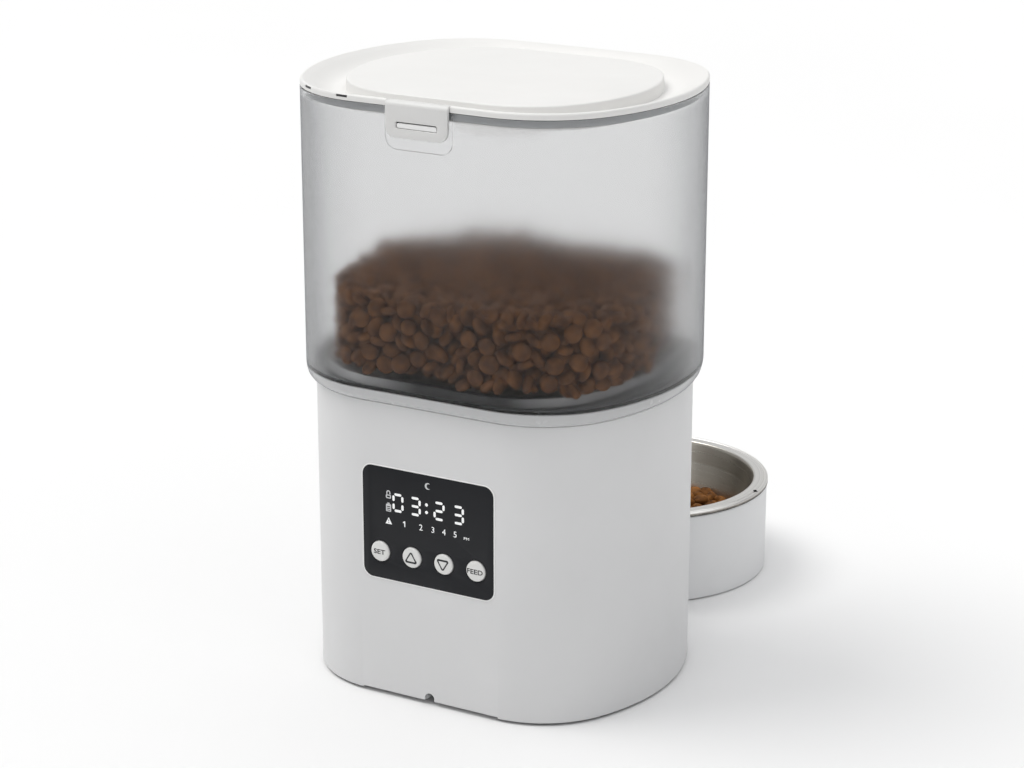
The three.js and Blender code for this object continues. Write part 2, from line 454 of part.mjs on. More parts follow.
// The hopper's floor is rounder than its walls, so that a shelf of the hopper's lip shows at each end.
const SHELF = outlinePoints(79.0, 68.7, 28.0, 43.5);
{
  const ring = (off, z) => ({ pts: inset(off), z });
  let g = skin([ring(0, Z_HOP_TOP), ring(0, 166.0), ring(0.25, 163.2), ring(1.2, 160.4), ring(3.3, Z_HOP_LOW), ring(8.2, Z_HOP_LOW), ring(9.6, 162.6), { pts: SHELF, z: 162.6 }, { pts: SHELF, z: 166.0 }, ring(HOP_WALL, 166.0), ring(HOP_WALL, Z_HOP_TOP)], false);
  // pocket behind the latch, with a catch rib
  g = cut(g, extrudeY(roundRect(-18.7, 18.7, 288.2, 330, 6.2), HOP_B - 0.9, HOP_B + 5, 3));
  g = join(g, box(-10.6, 10.6, HOP_B - 1.3, LATCH_IN - 0.35, 299.2, 301.4));
  g = cut(g, ...LIPS.map(([x, y]) => rod(1.7, 150, 170, x, y, 8)));
  put("hopper_tank", g, M.frosted);
}
{
  // Floor: a flange on the tank's lip and a funnel, with a notch for the outlet guard's tab.
  const deep = (d) => outlinePoints(84.0 - d, 79.3 - d, 30.0, 50.0 - d, 2, 3, 4);
  const like = deep(0), c = (r, z) => ({ pts: circle(r, like), z }), o = (d, z) => ({ pts: deep(d), z });
  let g = skin([c(WELL_R, 152.6), o(10.2, 169.4), o(1.2, 170.6), o(0, 171.2), o(0, 166.4), o(12.6, 166.4), c(60.2, 152.6)], false);
  g = cut(g, extrude(sector(50.0, 58.6, 30.2), 150, 155.1, 6), ...LIPS.map(([x, y]) => rod(1.6, 160, 169.0, x, y, 6)));
  put("hopper_floor", g, M.dark);
  // Well of the portion wheel: a cup under the funnel, with the outlet and the wheel's bearing in its floor.
  let w = turned([[0, WELL_LOW], [WELL_OUT, WELL_LOW], [WELL_OUT, 152.3], [WELL_R, 152.3], [WELL_R, WELL_FLOOR], [0, WELL_FLOOR]], 40);
  w = cut(w, rod(8.5, 110, 150, 0, 0, 20), extrude(roundRect(-16, 16, -50, -25, 3), 110, 140, 2));
  put("portion_well", w, M.dark);
}
{
  // Guard over the outlet: a sector that keeps food from falling straight through the wheel, held between the funnel and the well's rim.
  put("outlet_guard", extrude(sector(14.0, 58.2, 29), 152.6, 154.8, 6), M.dark);
}
LIPS.forEach(([x, y], i) => put(`hopper_screw_${i + 1}`, at(screw(160.9, 1.1, 2.2, 1.3, 7.6), x, y, 0), M.zinc));
{
  const vane = (k) => at(box(8, ROTOR_R, -1.5, 1.5, ROTOR_Z0, ROTOR_Z1), 0, 0, 0, 0, 0, ((k * 60 + 0) * Math.PI) / 180);
  let g = join(rod(11.5, ROTOR_Z0, ROTOR_Z1, 0, 0, 24), ...[...Array(VANES)].map((_, k) => vane(k)), rod(7.8, 125.6, ROTOR_Z0 + 1, 0, 0, 20));
  const hexHole = extrude(poly([...Array(6)].map((_, i) => [4.35 * Math.cos((i * Math.PI) / 3), 4.35 * Math.sin((i * Math.PI) / 3)])), 110, 136.0);
  g = cut(g, hexHole);
  put("dispensing_rotor", g, M.softWhite);
  // Agitator: a cone with three soft fingers that stir the food above the wheel.
  const cone = turned([[0, 155.8], [10.6, 155.8], [10.6, 158.0], [5.2, 176.0], [3.4, 178.6], [0, 179.4]], 14);
  const fingers = [...Array(3)].map((_, k) => at(box(4, 41, -1.6, 1.6, 156.6, 161.4), 0, 0, 0, 0, 0, ((k * 120 + 30) * Math.PI) / 180));
  const stem = rod(6, ROTOR_Z1 + 0.3, 157, 0, 0, 12);
  put("agitator", join(cone, stem, ...fingers), M.silicone);
}

// ================================================================ lid
const PLAT = { A: 78.4, B: 66.2, flat: 25.0, r1: 48.5 };
const plateau = (d) => outlinePoints(PLAT.A - d, PLAT.B - d, PLAT.flat, PLAT.r1 - d);
{
  const ring = (off, z) => ({ pts: inset(off), z }), p = (d, z) => ({ pts: plateau(d), z });
  let g = skin([
    p(1.4, 311.4), p(0.3, 310.9), p(0, 310.0), p(0, 305.9), // raised middle
    ring(12.5, 306.2), ring(6.5, 308.8), ring(3.0, 311.4), ring(1.6, Z_LID_TOP), ring(0.4, 311.7), ring(0, 310.8), ring(0, Z_LID_LOW), // dished border and rim
    ring(4.5, Z_LID_LOW), ring(4.5, 304.2), ring(6.3, 304.2), ring(6.3, 306.2), ring(13.0, 303.9), // skirt
    p(2.2, 303.9), p(2.2, 309.2), // underside
  ], true);
  // notch in the rim for the latch's head, and two small slots in the rim's side
  const notch = box(-LATCH_W / 2 - 0.4, LATCH_W / 2 + 0.4, 78.6, 90, 305.0, 320);
  const v = (x, y, a, l) => at(box(-l / 2, l / 2, -1.5, 1.5, 310.4, 311.6), x, y, 0, 0, 0, a);
  g = cut(g, notch, v(43.4, 82.25, -0.104, 6.8), v(69.0, 73.1, -0.6, 7.0), rodX(0.85, -21.4, 21.4, PIVOT_Y, PIVOT_Z, 8));
  put("lid_shell", g, M.lidWhite);
  // Seal: a soft ring round the skirt.
  put("lid_seal", planRing(2.8, 4.2, 304.9, 308.4), M.silicone);
  // Liner: an inner plate with a round basket for the drying agent.
  let l = extrude(planShape(13.6), 301.4, 303.4);
  l = cut(l, rod(21.5, 295, 310, 0, 0, 24));
  const tube = cut(rod(24.4, 289.0, 302.6, 0, 0, 24), rod(22.4, 280, 310, 0, 0, 24));
  l = join(l, tube);
  put("lid_liner", l, M.lidWhite);
  put("desiccant_bag", skin([{ pts: sq(14, 12), z: 300.2 }, { pts: sq(15.2, 13.6), z: 298.2 }, { pts: sq(15.6, 14.2), z: 295.0 }, { pts: sq(15.0, 13.4), z: 291.6 }, { pts: sq(13.4, 11.6), z: 290.2 }], true), M.paper);
  // Cap: a twist-off grille on the basket, with a finger bar.
  let c = join(rod(25.2, 286.4, 288.6, 0, 0, 24), cut(rod(21.9, 288.0, 291.4, 0, 0, 24), rod(20.1, 280, 300, 0, 0, 24)), box(-16, 16, -1.4, 1.4, 282.6, 287.0));
  const holes = [];
  for (let k = 0; k < 8; k++) { const a = (k * Math.PI) / 4 + 0.393; holes.push(rod(2.2, 280, 292, 12.5 * Math.cos(a), 12.5 * Math.sin(a), 6)); }
  c = cut(c, ...holes);
  put("desiccant_cap", c, M.lidWhite);
}
// A rounded square ring for the drying-agent bag.
function sq(a, b) {
  const pts = [];
  for (let i = 0; i < 20; i++) {
    const t = (i / 20) * 2 * Math.PI, k = (v) => Math.sign(v) * Math.abs(v) ** 0.5;
    pts.push([a * k(Math.cos(t)), b * k(Math.sin(t))]);
  }
  return pts;
}
{
  // Latch: a plate that hangs over the hopper's wall from a barrel in the rim, with a slot over the catch rib.
  const s = new THREE.Shape();
  s.moveTo(LATCH_IN, LATCH_Z0);
  s.lineTo(LATCH_FACE - 0.7, LATCH_Z0);
  s.lineTo(LATCH_FACE, LATCH_Z0 + 0.8);
  s.lineTo(LATCH_FACE, 309.4);
  s.absarc(LATCH_FACE - 2.7, 309.4, 2.7, 0, Math.PI / 2, false);
  s.lineTo(PIVOT_Y, PIVOT_Z + 1.5);
  s.absarc(PIVOT_Y, PIVOT_Z, 1.5, Math.PI / 2, Math.PI * 1.5, false);
  s.lineTo(LATCH_IN, PIVOT_Z - 1.5);
  s.closePath();
  let g = extrudeX(s, -LATCH_W / 2, LATCH_W / 2, 3);
  // rounded lower corners and the slot
  const keep = extrudeY(roundRect(-LATCH_W / 2, LATCH_W / 2, LATCH_Z0, 340, 5.6), 60, 100, 3);
  g = common(g, keep);
  g = cut(g, extrudeY(roundRect(-11.5, 11.5, 299.0, 302.2, 0.8), 80, 90, 1), rodX(0.85, -30, 30, PIVOT_Y, PIVOT_Z, 8));
  put("lid_latch", g, M.lidWhite);
  put("latch_pin", rodX(0.5, -21.0, 21.0, PIVOT_Y, PIVOT_Z, 8), M.zinc);
}

// ================================================================ bowl and holder
{
  const t = [[0, 9.0], [46.0, 9.0], [52.6, 13.0], [61.2, 41.0], [63.4, 51.4], [70.1, 51.4], [70.1, 50.2], [BOWL_RIM_R, 50.2], [BOWL_RIM_R, 51.8], [70.2, BOWL_RIM_Z], [63.9, BOWL_RIM_Z], [61.8, 51.2], [60.0, 41.2], [51.6, 13.8], [45.6, 10.2], [0, 10.2]];
  put("steel_bowl", at(turned(t, 36), 0, BOWL_Y, 0), M.steel);
  // Holder: a round cup with a foot ring and a tongue that plugs into the base.
  let h = turned([[0, 2.4], [66.0, 2.4], [66.0, 0], [69.6, 0], [HOLDER_R, 1.2], [HOLDER_R, 49.9], [67.8, 49.9], [67.8, 4.8], [0, 4.8]], 36);
  h = at(h, 0, BOWL_Y, 0);
  const tongue = box(-22.0, 22.0, -94.0, -66.0, 5.0, 9.2);
  h = join(h, tongue);
  h = cut(h, at(turned([[0, 5.2], [67.6, 5.2], [67.6, 60], [0, 60]], 36), 0, BOWL_Y, 0));
  put("bowl_holder", h, M.bodyWhite);
}

// ================================================================ keys
KEYS.forEach((x, i) => {
  const name = ["button_set", "button_up", "button_down", "button_feed"][i];
  const g = turned([[0, 0], [BUTTON_R + 1.0, 0], [BUTTON_R + 1.0, 0.9], [BUTTON_R, 0.9], [BUTTON_R, 5.3], [BUTTON_R - 0.5, 5.8], [BUTTON_R - 2.2, 6.05], [0, 6.15]], 20);
  put(name, at(g, x, FACE - 4.7, BUTTON_Z, -Math.PI / 2, 0, 0), M.key);
});

export default root;
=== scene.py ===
import math

import bmesh
import bpy
import numpy as np
from mathutils import Matrix, Vector


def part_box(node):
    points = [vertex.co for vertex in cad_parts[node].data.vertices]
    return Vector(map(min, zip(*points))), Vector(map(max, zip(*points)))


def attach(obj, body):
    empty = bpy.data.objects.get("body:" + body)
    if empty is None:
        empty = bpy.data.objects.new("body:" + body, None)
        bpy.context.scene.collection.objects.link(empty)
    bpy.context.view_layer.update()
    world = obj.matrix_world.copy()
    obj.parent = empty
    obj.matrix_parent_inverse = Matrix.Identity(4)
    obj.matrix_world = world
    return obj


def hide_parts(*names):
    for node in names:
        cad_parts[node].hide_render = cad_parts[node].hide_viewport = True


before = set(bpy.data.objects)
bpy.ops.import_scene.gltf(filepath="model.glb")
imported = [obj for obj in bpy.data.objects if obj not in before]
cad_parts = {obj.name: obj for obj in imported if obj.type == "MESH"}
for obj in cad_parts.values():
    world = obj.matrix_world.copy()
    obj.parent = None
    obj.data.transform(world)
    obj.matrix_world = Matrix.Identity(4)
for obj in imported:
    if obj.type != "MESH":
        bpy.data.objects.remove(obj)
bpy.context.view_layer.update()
scene = bpy.context.scene
MM = 0.001
_lo, _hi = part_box("hopper_tank")
SY = (_lo.y + _hi.y) / 2  # the hopper's middle in the row frame, metres

# ------------------------------------------------------------------ the part's plan and levels, millimetres
HOP_A, HOP_B, FLAT, CORNER_R = 100.0, 82.7, 37.6, 56.0
BODY_IN, WALL, HOP_WALL = 5.1, 2.6, 2.4
Z_BODY_LOW, Z_BODY_TOP, Z_HOP_LOW, Z_HOP_TOP = 1.5, 158.2, 158.5, 308.6
Z_LID_LOW, Z_LID_TOP = 309.0, 312.2
PANEL_W, PANEL_Z0, PANEL_Z1, PANEL_R = 75.9, 64.4, 124.1, 5.3
BUTTON_R, BUTTON_Z, BUTTON_PITCH = 5.4, 78.8, 18.6
FACE = HOP_B - BODY_IN
BOWL_Y = -159.8
LATCH_W, LATCH_IN, LATCH_FACE, LATCH_Z0, PIVOT_Y, PIVOT_Z = 34.7, 82.8, 84.7, 294.3, 80.6, 310.5


# ------------------------------------------------------------------ camera
def make_camera():
    cam = bpy.data.cameras.new("camera")
    cam.lens = 93.72
    cam.sensor_width = 36.0
    cam.sensor_fit = "HORIZONTAL"
    cam.clip_start, cam.clip_end = 0.05, 60
    o = bpy.data.objects.new("camera", cam)
    scene.collection.objects.link(o)
    o.location = (-0.65435, 1.13429 + SY, 0.56745)
    forward = Vector((0.47402, -0.82648, -0.30369)).normalized()
    o.rotation_mode = "QUATERNION"
    o.rotation_quaternion = forward.to_track_quat("-Z", "Y")
    scene.camera = o


make_camera()


# ------------------------------------------------------------------ materials
def new_material(name):
    m = bpy.data.materials.new(name)
    m.use_nodes = True
    nt = m.node_tree
    for n in list(nt.nodes):
        nt.nodes.remove(n)
    out = nt.nodes.new("ShaderNodeOutputMaterial")
    b = nt.nodes.new("ShaderNodeBsdfPrincipled")
    nt.links.new(b.outputs[0], out.inputs[0])
    return m, nt, b, out


def coords(nt, scale=(1, 1, 1)):
    tc = nt.nodes.new("ShaderNodeTexCoord")
    mp = nt.nodes.new("ShaderNodeMapping")
    mp.inputs["Scale"].default_value = scale
    nt.links.new(tc.outputs["Object"], mp.inputs["Vector"])
    return mp.outputs["Vector"]


def noise(nt, vec, scale, detail=3.0, rough=0.55):
    n = nt.nodes.new("ShaderNodeTexNoise")
    n.inputs["Scale"].default_value = scale
    n.inputs["Detail"].default_value = detail
    n.inputs["Roughness"].default_value = rough
    nt.links.new(vec, n.inputs["Vector"])
    return n.outputs["Fac"]


def ramp(nt, fac, lo, hi, a=0.3, b=0.7):
    r = nt.nodes.new("ShaderNodeMapRange")
    r.inputs["From Min"].default_value = a
    r.inputs["From Max"].default_value = b
    r.inputs["To Min"].default_value = lo
    r.inputs["To Max"].default_value = hi
    nt.links.new(fac, r.inputs["Value"])
    return r.outputs["Result"]


def mix_color(nt, fac, c1, c2):
    m = nt.nodes.new("ShaderNodeMix")
    m.data_type = "RGBA"
    for sock, c in ((m.inputs[6], c1), (m.inputs[7], c2)):
        if isinstance(c, bpy.types.NodeSocket):
            nt.links.new(c, sock)
        else:
            sock.default_value = (*c, 1)
    nt.links.new(fac, m.inputs[0])
    return m.outputs[2]


def add_bump(nt, b, height, strength, distance, under=None):
    n = nt.nodes.new("ShaderNodeBump")
    n.inputs["Strength"].default_value = strength
    n.inputs["Distance"].default_value = distance
    nt.links.new(height, n.inputs["Height"])
    if under is not None:
        nt.links.new(under, n.inputs["Normal"])
    nt.links.new(n.outputs["Normal"], b.inputs["Normal"])
    return n.outputs["Normal"]


def plastic(name, color, rough=0.4, vary=0.02, grain=1400.0, depth=0.00002, spec=0.5, rough_vary=0.05, coat=0.0, stretch=(1, 1, 1)):
    """Moulded plastic: slow colour variation, patchy gloss and a fine moulded grain."""
    m, nt, b, _ = new_material(name)
    v = coords(nt, stretch)
    slow = noise(nt, v, 22.0, 4.0)
    dark = tuple(max(0.0, c * (1 - vary) - 0.001) for c in color)
    light = tuple(min(1.0, c * (1 + vary) + 0.001) for c in color)
    nt.links.new(mix_color(nt, ramp(nt, slow, 0, 1), dark, light), b.inputs["Base Color"])
    patch = noise(nt, v, 60.0, 3.0)
    nt.links.new(ramp(nt, patch, rough - rough_vary, rough + rough_vary), b.inputs["Roughness"])
    b.inputs["Specular IOR Level"].default_value = spec
    if coat:
        b.inputs["Coat Weight"].default_value = coat
        b.inputs["Coat Roughness"].default_value = 0.12
    add_bump(nt, b, noise(nt, v, grain, 2.0, 0.6), 0.35, depth)
    return m


def metal(name, color, rough, stretch=(1, 1, 1), grain=900.0, vary=0.06, depth=0.00002, rough_vary=0.06):
    m, nt, b, _ = new_material(name)
    v = coords(nt, stretch)
    b.inputs["Metallic"].default_value = 1.0
    streak = noise(nt, v, grain, 3.0, 0.7)
    dark = tuple(c * (1 - vary) for c in color)
    light = tuple(min(1.0, c * (1 + vary)) for c in color)
    nt.links.new(mix_color(nt, ramp(nt, streak, 0, 1), dark, light), b.inputs["Base Color"])
    nt.links.new(ramp(nt, noise(nt, v, grain * 0.35, 3.0), rough - rough_vary, rough + rough_vary), b.inputs["Roughness"])
    add_bump(nt, b, streak, 0.3, depth)
    return m


def turned_metal(name, flange, inside, rough, centre, r_in, z_low, fine=2600.0):
    """Spun steel: fine rings about the vertical axis through centre (x, y in metres). Brighter on the flange, from
    radius r_in and above z_low, than inside. The inside carries a painted dark reflection, stronger towards both sides
    along X.
    """
    m, nt, b, _ = new_material(name)
    tc = nt.nodes.new("ShaderNodeTexCoord")
    mp = nt.nodes.new("ShaderNodeMapping")
    mp.inputs["Location"].default_value = (-centre[0], -centre[1], 0)
    nt.links.new(tc.outputs["Object"], mp.inputs["Vector"])
    sep = nt.nodes.new("ShaderNodeSeparateXYZ")
    nt.links.new(mp.outputs["Vector"], sep.inputs["Vector"])

    def math_node(op, x, y=None):
        n = nt.nodes.new("ShaderNodeMath")
        n.operation = op
        for sock, v in ((n.inputs[0], x), (n.inputs[1], y)):
            if isinstance(v, bpy.types.NodeSocket):
                nt.links.new(v, sock)
            elif v is not None:
                sock.default_value = v
        return n.outputs[0]

    r = math_node("SQRT", math_node("ADD", math_node("MULTIPLY", sep.outputs["X"], sep.outputs["X"]), math_node("MULTIPLY", sep.outputs["Y"], sep.outputs["Y"])))
    cmb = nt.nodes.new("ShaderNodeCombineXYZ")
    nt.links.new(r, cmb.inputs["X"])
    nt.links.new(sep.outputs["Z"], cmb.inputs["Z"])
    rings = noise(nt, cmb.outputs[0], fine, 3.0, 0.6)
    coarse = noise(nt, cmb.outputs[0], fine * 0.3, 2.0, 0.6)
    out_here = ramp(nt, r, 0, 1, r_in - 0.0006, r_in + 0.0006)
    up_here = ramp(nt, sep.outputs["Z"], 0, 1, z_low - 0.0003, z_low + 0.0003)
    flat = math_node("MULTIPLY", out_here, up_here)
    b.inputs["Metallic"].default_value = 1.0
    blot = noise(nt, mp.outputs["Vector"], 45.0, 4.0)
    shade = lambda c, k: tuple(min(1.0, v * k) for v in c)
    bright = mix_color(nt, ramp(nt, coarse, 0, 1), shade(flange, 0.84), shade(flange, 1.03))
    full = mix_color(nt, ramp(nt, blot, 0, 1), shade(inside, 0.92), shade(inside, 1.06))
    # The inside's colour, darkened to about a third and laid on towards both sides along X: painted dark reflection.
    deep = mix_color(nt, ramp(nt, blot, 0, 1), shade(inside, 0.34), shade(inside, 0.42))
    inside_painted_reflection = mix_color(nt, ramp(nt, math_node("ABSOLUTE", sep.outputs["X"]), 0, 1, 0.002, 0.036), full, deep)
    nt.links.new(mix_color(nt, flat, inside_painted_reflection, bright), b.inputs["Base Color"])
    gloss = nt.nodes.new("ShaderNodeMix")
    gloss.data_type = "FLOAT"
    nt.links.new(flat, gloss.inputs[0])
    nt.links.new(ramp(nt, rings, rough - 0.05, rough + 0.07), gloss.inputs[2])
    nt.links.new(ramp(nt, rings, rough + 0.08, rough + 0.2), gloss.inputs[3])
    nt.links.new(gloss.outputs[0], b.inputs["Roughness"])
    add_bump(nt, b, rings, 0.35, 0.000025)
    return m


def frosted(name, clear_from_z, foot_z, tint=(0.84, 0.843, 0.846), rough=0.264, ior=1.255):
    """Moulded clear plastic with a frosted surface: left clear above clear_from_z, milky below foot_z (metres, in the
    piece's own frame). Towards grazing angles it darkens, partly for the longer path through the plastic and partly
    with painted shade; the milky foot's level faces carry painted light.
    """
    m, nt, b, out = new_material(name)
    tc = nt.nodes.new("ShaderNodeTexCoord")
    sep = nt.nodes.new("ShaderNodeSeparateXYZ")
    nt.links.new(tc.outputs["Object"], sep.inputs["Vector"])

    def step(z, soft):
        n = nt.nodes.new("ShaderNodeMapRange")
        n.inputs["From Min"].default_value = z - soft
        n.inputs["From Max"].default_value = z + soft
        nt.links.new(sep.outputs["Z"], n.inputs["Value"])
        return n.outputs["Result"]

    vec = coords(nt)
    mott = ramp(nt, noise(nt, vec, 35.0, 3.0), rough - 0.006, rough + 0.006, 0.0, 1.0)
    mixr = nt.nodes.new("ShaderNodeMix")
    mixr.data_type = "FLOAT"
    nt.links.new(step(clear_from_z, 0.0003), mixr.inputs[0])
    nt.links.new(mott, mixr.inputs[2])
    mixr.inputs[3].default_value = 0.1
    nt.links.new(mixr.outputs[0], b.inputs["Roughness"])
    slow = noise(nt, vec, 14.0, 1.0)
    # The tint darkens towards grazing angles, partly for the longer path through the plastic and partly as painted
    # shade on the sides.
    edge = nt.nodes.new("ShaderNodeLayerWeight")
    edge.inputs["Blend"].default_value = 0.5
    nt.links.new(mix_color(nt, ramp(nt, edge.outputs["Facing"], 0, 1, 0.34, 1.0), tint, tuple(x * k for x, k in zip(tint, (0.50, 0.52, 0.54)))), b.inputs["Base Color"])
    b.inputs["Transmission Weight"].default_value = 1.0
    b.inputs["IOR"].default_value = ior
    milk = nt.nodes.new("ShaderNodeBsdfPrincipled")
    side = nt.nodes.new("ShaderNodeSeparateXYZ")
    nt.links.new(tc.outputs["Normal"], side.inputs["Vector"])
    flat = nt.nodes.new("ShaderNodeMath")
    flat.operation = "ABSOLUTE"
    nt.links.new(side.outputs["Z"], flat.inputs[0])
    # The milky foot's level faces are much lighter than its upright faces: painted light on the level faces, which lie
    # in shade inside the hopper.
    wall = mix_color(nt, ramp(nt, slow, 0, 1), (0.5, 0.505, 0.51), (0.52, 0.525, 0.53))
    under = mix_color(nt, ramp(nt, slow, 0, 1), (0.90, 0.903, 0.906), (0.92, 0.923, 0.926))
    nt.links.new(mix_color(nt, ramp(nt, flat.outputs[0], 0, 1, 0.75, 0.9), wall, under), milk.inputs["Base Color"])
    nt.links.new(ramp(nt, noise(nt, vec, 60.0, 3.0), 0.2, 0.28), milk.inputs["Roughness"])
    mix = nt.nodes.new("ShaderNodeMixShader")
    nt.links.new(step(foot_z, 0.0005), mix.inputs[0])
    nt.links.new(milk.outputs[0], mix.inputs[1])
    nt.links.new(b.outputs[0], mix.inputs[2])
    # A dark matte layer mixed in at grazing angles: painted shade on the hopper's sides.
    painted_edge_shade = nt.nodes.new("ShaderNodeBsdfPrincipled")
    painted_edge_shade.inputs["Base Color"].default_value = (0.215, 0.225, 0.24, 1.0)
    painted_edge_shade.inputs["Specular IOR Level"].default_value = 0.0
    painted_edge_shade.inputs["Roughness"].default_value = 0.6
    last = nt.nodes.new("ShaderNodeMixShader")
    nt.links.new(ramp(nt, edge.outputs["Facing"], 0, 0.85, 0.70, 0.98), last.inputs[0])
    nt.links.new(mix.outputs[0], last.inputs[1])
    nt.links.new(painted_edge_shade.outputs[0], last.inputs[2])
    nt.links.new(last.outputs[0], out.inputs[0])
    return m


def funnel_painted_light(name, dark, light, x0, x1, x2, x3):
    """Dark moulded plastic, painted lighter towards both ends as painted light: from x0 to x1 on one side and from -x2
    to -x3 on the other, metres.
    """
    m, nt, b, _ = new_material(name)
    tc = nt.nodes.new("ShaderNodeTexCoord")
    sep = nt.nodes.new("ShaderNodeSeparateXYZ")
    nt.links.new(tc.outputs["Object"], sep.inputs["Vector"])
    vec = coords(nt)
    # Painted light: the colour turns light towards the ends, sooner on the +X side.
    one = ramp(nt, sep.outputs["X"], 0, 1, x0, x1)
    two = ramp(nt, sep.outputs["X"], 1, 0, -x3, -x2)
    top = nt.nodes.new("ShaderNodeMath")
    top.operation = "MAXIMUM"
    nt.links.new(one, top.inputs[0])
    nt.links.new(two, top.inputs[1])
    slow = noise(nt, vec, 22.0, 4.0)
    deep = mix_color(nt, ramp(nt, slow, 0, 1), tuple(c * 0.88 for c in dark), tuple(c * 1.12 for c in dark))
    nt.links.new(mix_color(nt, top.outputs[0], deep, light), b.inputs["Base Color"])
    nt.links.new(ramp(nt, noise(nt, vec, 60.0, 3.0), 0.4, 0.5), b.inputs["Roughness"])
    add_bump(nt, b, noise(nt, vec, 900.0, 2.0, 0.6), 0.35, 0.00003)
    return m


def food(name, a=(0.25, 0.099, 0.026), c=(0.108, 0.038, 0.011), gloss=0.35):
    m, nt, b, _ = new_material(name)
    vec = coords(nt)
    big = noise(nt, vec, 150.0, 3.0)
    nt.links.new(mix_color(nt, ramp(nt, big, 0, 1, 0.35, 0.65), c, a), b.inputs["Base Color"])
    nt.links.new(ramp(nt, noise(nt, vec, 700.0, 4.0), 0.55, 0.8), b.inputs["Roughness"])
    b.inputs["Specular IOR Level"].default_value = gloss
    add_bump(nt, b, noise(nt, vec, 900.0, 4.0, 0.65), 0.7, 0.00025)
    return m


def matt_black(name):
    """The unlit depth of a slot."""
    m, nt, b, _ = new_material(name)
    vec = coords(nt)
    nt.links.new(mix_color(nt, ramp(nt, noise(nt, vec, 500.0, 2.0), 0, 1), (0.003, 0.003, 0.003), (0.006, 0.006, 0.006)), b.inputs["Base Color"])
    b.inputs["Roughness"].default_value = 0.9
    b.inputs["Specular IOR Level"].default_value = 0.0
    return m


def lamp_white(name, color, strength):
    m, nt, b, _ = new_material(name)
    vec = coords(nt)
    n = noise(nt, vec, 400.0, 2.0)
    col = mix_color(nt, ramp(nt, n, 0, 1), tuple(x * 0.96 for x in color), color)
    nt.links.new(col, b.inputs["Base Color"])
    nt.links.new(col, b.inputs["Emission Color"])
    b.inputs["Emission Strength"].default_value = strength
    b.inputs["Roughness"].default_value = 0.4
    return m


MAT = {
    "body": plastic("body_plastic", (0.735, 0.737, 0.742), 0.46, 0.012),
    "lid": plastic("lid_plastic", (0.83, 0.824, 0.81), 0.42, 0.012),
    "latch": plastic("latch_plastic", (0.74, 0.738, 0.73), 0.42, 0.012),
    # A white plastic used for painted light: the highlight round the panel's window and the lit web in the latch slot.
    "painted_light_white": plastic("white_plastic_painted_light", (0.93, 0.93, 0.925), 0.35, 0.01),
    "cup": plastic("cup_plastic", (0.83, 0.835, 0.842), 0.46, 0.012),
    # The funnel carries painted light towards its ends.
    "funnel": funnel_painted_light("funnel_painted_light", (0.028, 0.028, 0.03), (0.62, 0.622, 0.626), 0.004, 0.040, 0.044, 0.070),
    "inner": plastic("inner_plastic", (0.72, 0.715, 0.70), 0.5, 0.02, 900.0, 0.00003),
    "dark": plastic("dark_plastic", (0.022, 0.022, 0.024), 0.42, 0.12, 900.0, 0.00003),
    "panel": plastic("panel_gloss", (0.017, 0.0178, 0.0205), 0.34, 0.06, 2600.0, 0.000006, 0.16, 0.03),
    # The lid liner and drying cap glow faintly though they are no lamp: painted light, lifting them out of the shade
    # under the lid.
    "pale": lamp_white("liner_painted_glow", (0.93, 0.93, 0.925), 0.22),
    "void": matt_black("slot_black"),
    "key": plastic("key_plastic", (0.79, 0.79, 0.775), 0.38, 0.012, 1800.0, 0.00001),
    "ink": plastic("key_ink", (0.03, 0.03, 0.034), 0.5, 0.1, spec=0.2),
    "silicone": plastic("seal_silicone", (0.74, 0.755, 0.77), 0.5, 0.05, 700.0, 0.00003),
    "seal_dark": plastic("seal_shade", (0.05, 0.052, 0.055), 0.5, 0.06, 700.0, 0.00003),
    "rubber": plastic("foot_rubber", (0.03, 0.03, 0.031), 0.75, 0.15, 600.0, 0.00006, 0.3),
    "wheel": plastic("wheel_plastic", (0.72, 0.68, 0.60), 0.5, 0.03, 900.0, 0.00003),
    "board": plastic("board_green", (0.02, 0.11, 0.045), 0.45, 0.3, 500.0, 0.00004, 0.5, 0.08),
    "lamp": plastic("tinted_lens", (0.012, 0.012, 0.016), 0.2, 0.1, 800.0, 0.00001, 0.5, 0.03, 0.3),
    "cell": plastic("cell_sleeve", (0.05, 0.08, 0.14), 0.3, 0.15, 500.0, 0.00002, 0.5, 0.06, 0.3, (1, 1, 1)),
    "paper": plastic("bag_paper", (0.80, 0.79, 0.74), 0.85, 0.04, 380.0, 0.00012, 0.2),
    "zinc": metal("zinc_plate", (0.62, 0.63, 0.65), 0.36, (1, 1, 1), 500.0),
    "brass": metal("turned_brass", (0.65, 0.46, 0.19), 0.3, (1, 1, 8), 500.0),
    "steel": turned_metal("bowl_steel", (0.875, 0.865, 0.845), (0.99, 0.93, 0.84), 0.3, (0.0, SY + BOWL_Y * MM), 0.0632, 0.05175),
    "tank": frosted("tank_frosted", 0.30415, 0.1652),
    "food": food("dry_food"),
    "bowl_food": food("dry_food_bowl", (0.245, 0.098, 0.021), (0.075, 0.027, 0.006), 0.16),
    "glyph": lamp_white("display_white", (0.80, 0.81, 0.81), 0.35),
    "glyph_dim": lamp_white("display_dim", (0.55, 0.56, 0.57), 0.15),
}


# ------------------------------------------------------------------ mesh helpers
def link(name, verts, faces, material, smooth_angle=32.0):
    me = bpy.data.meshes.new(name)
    me.from_pydata([tuple(v) for v in verts], [], [tuple(f) for f in faces])
    me.validate()
    me.materials.append(material)
    o = bpy.data.objects.new(name, me)
    scene.collection.objects.link(o)
    finish_mesh(o, smooth_angle)
    return o


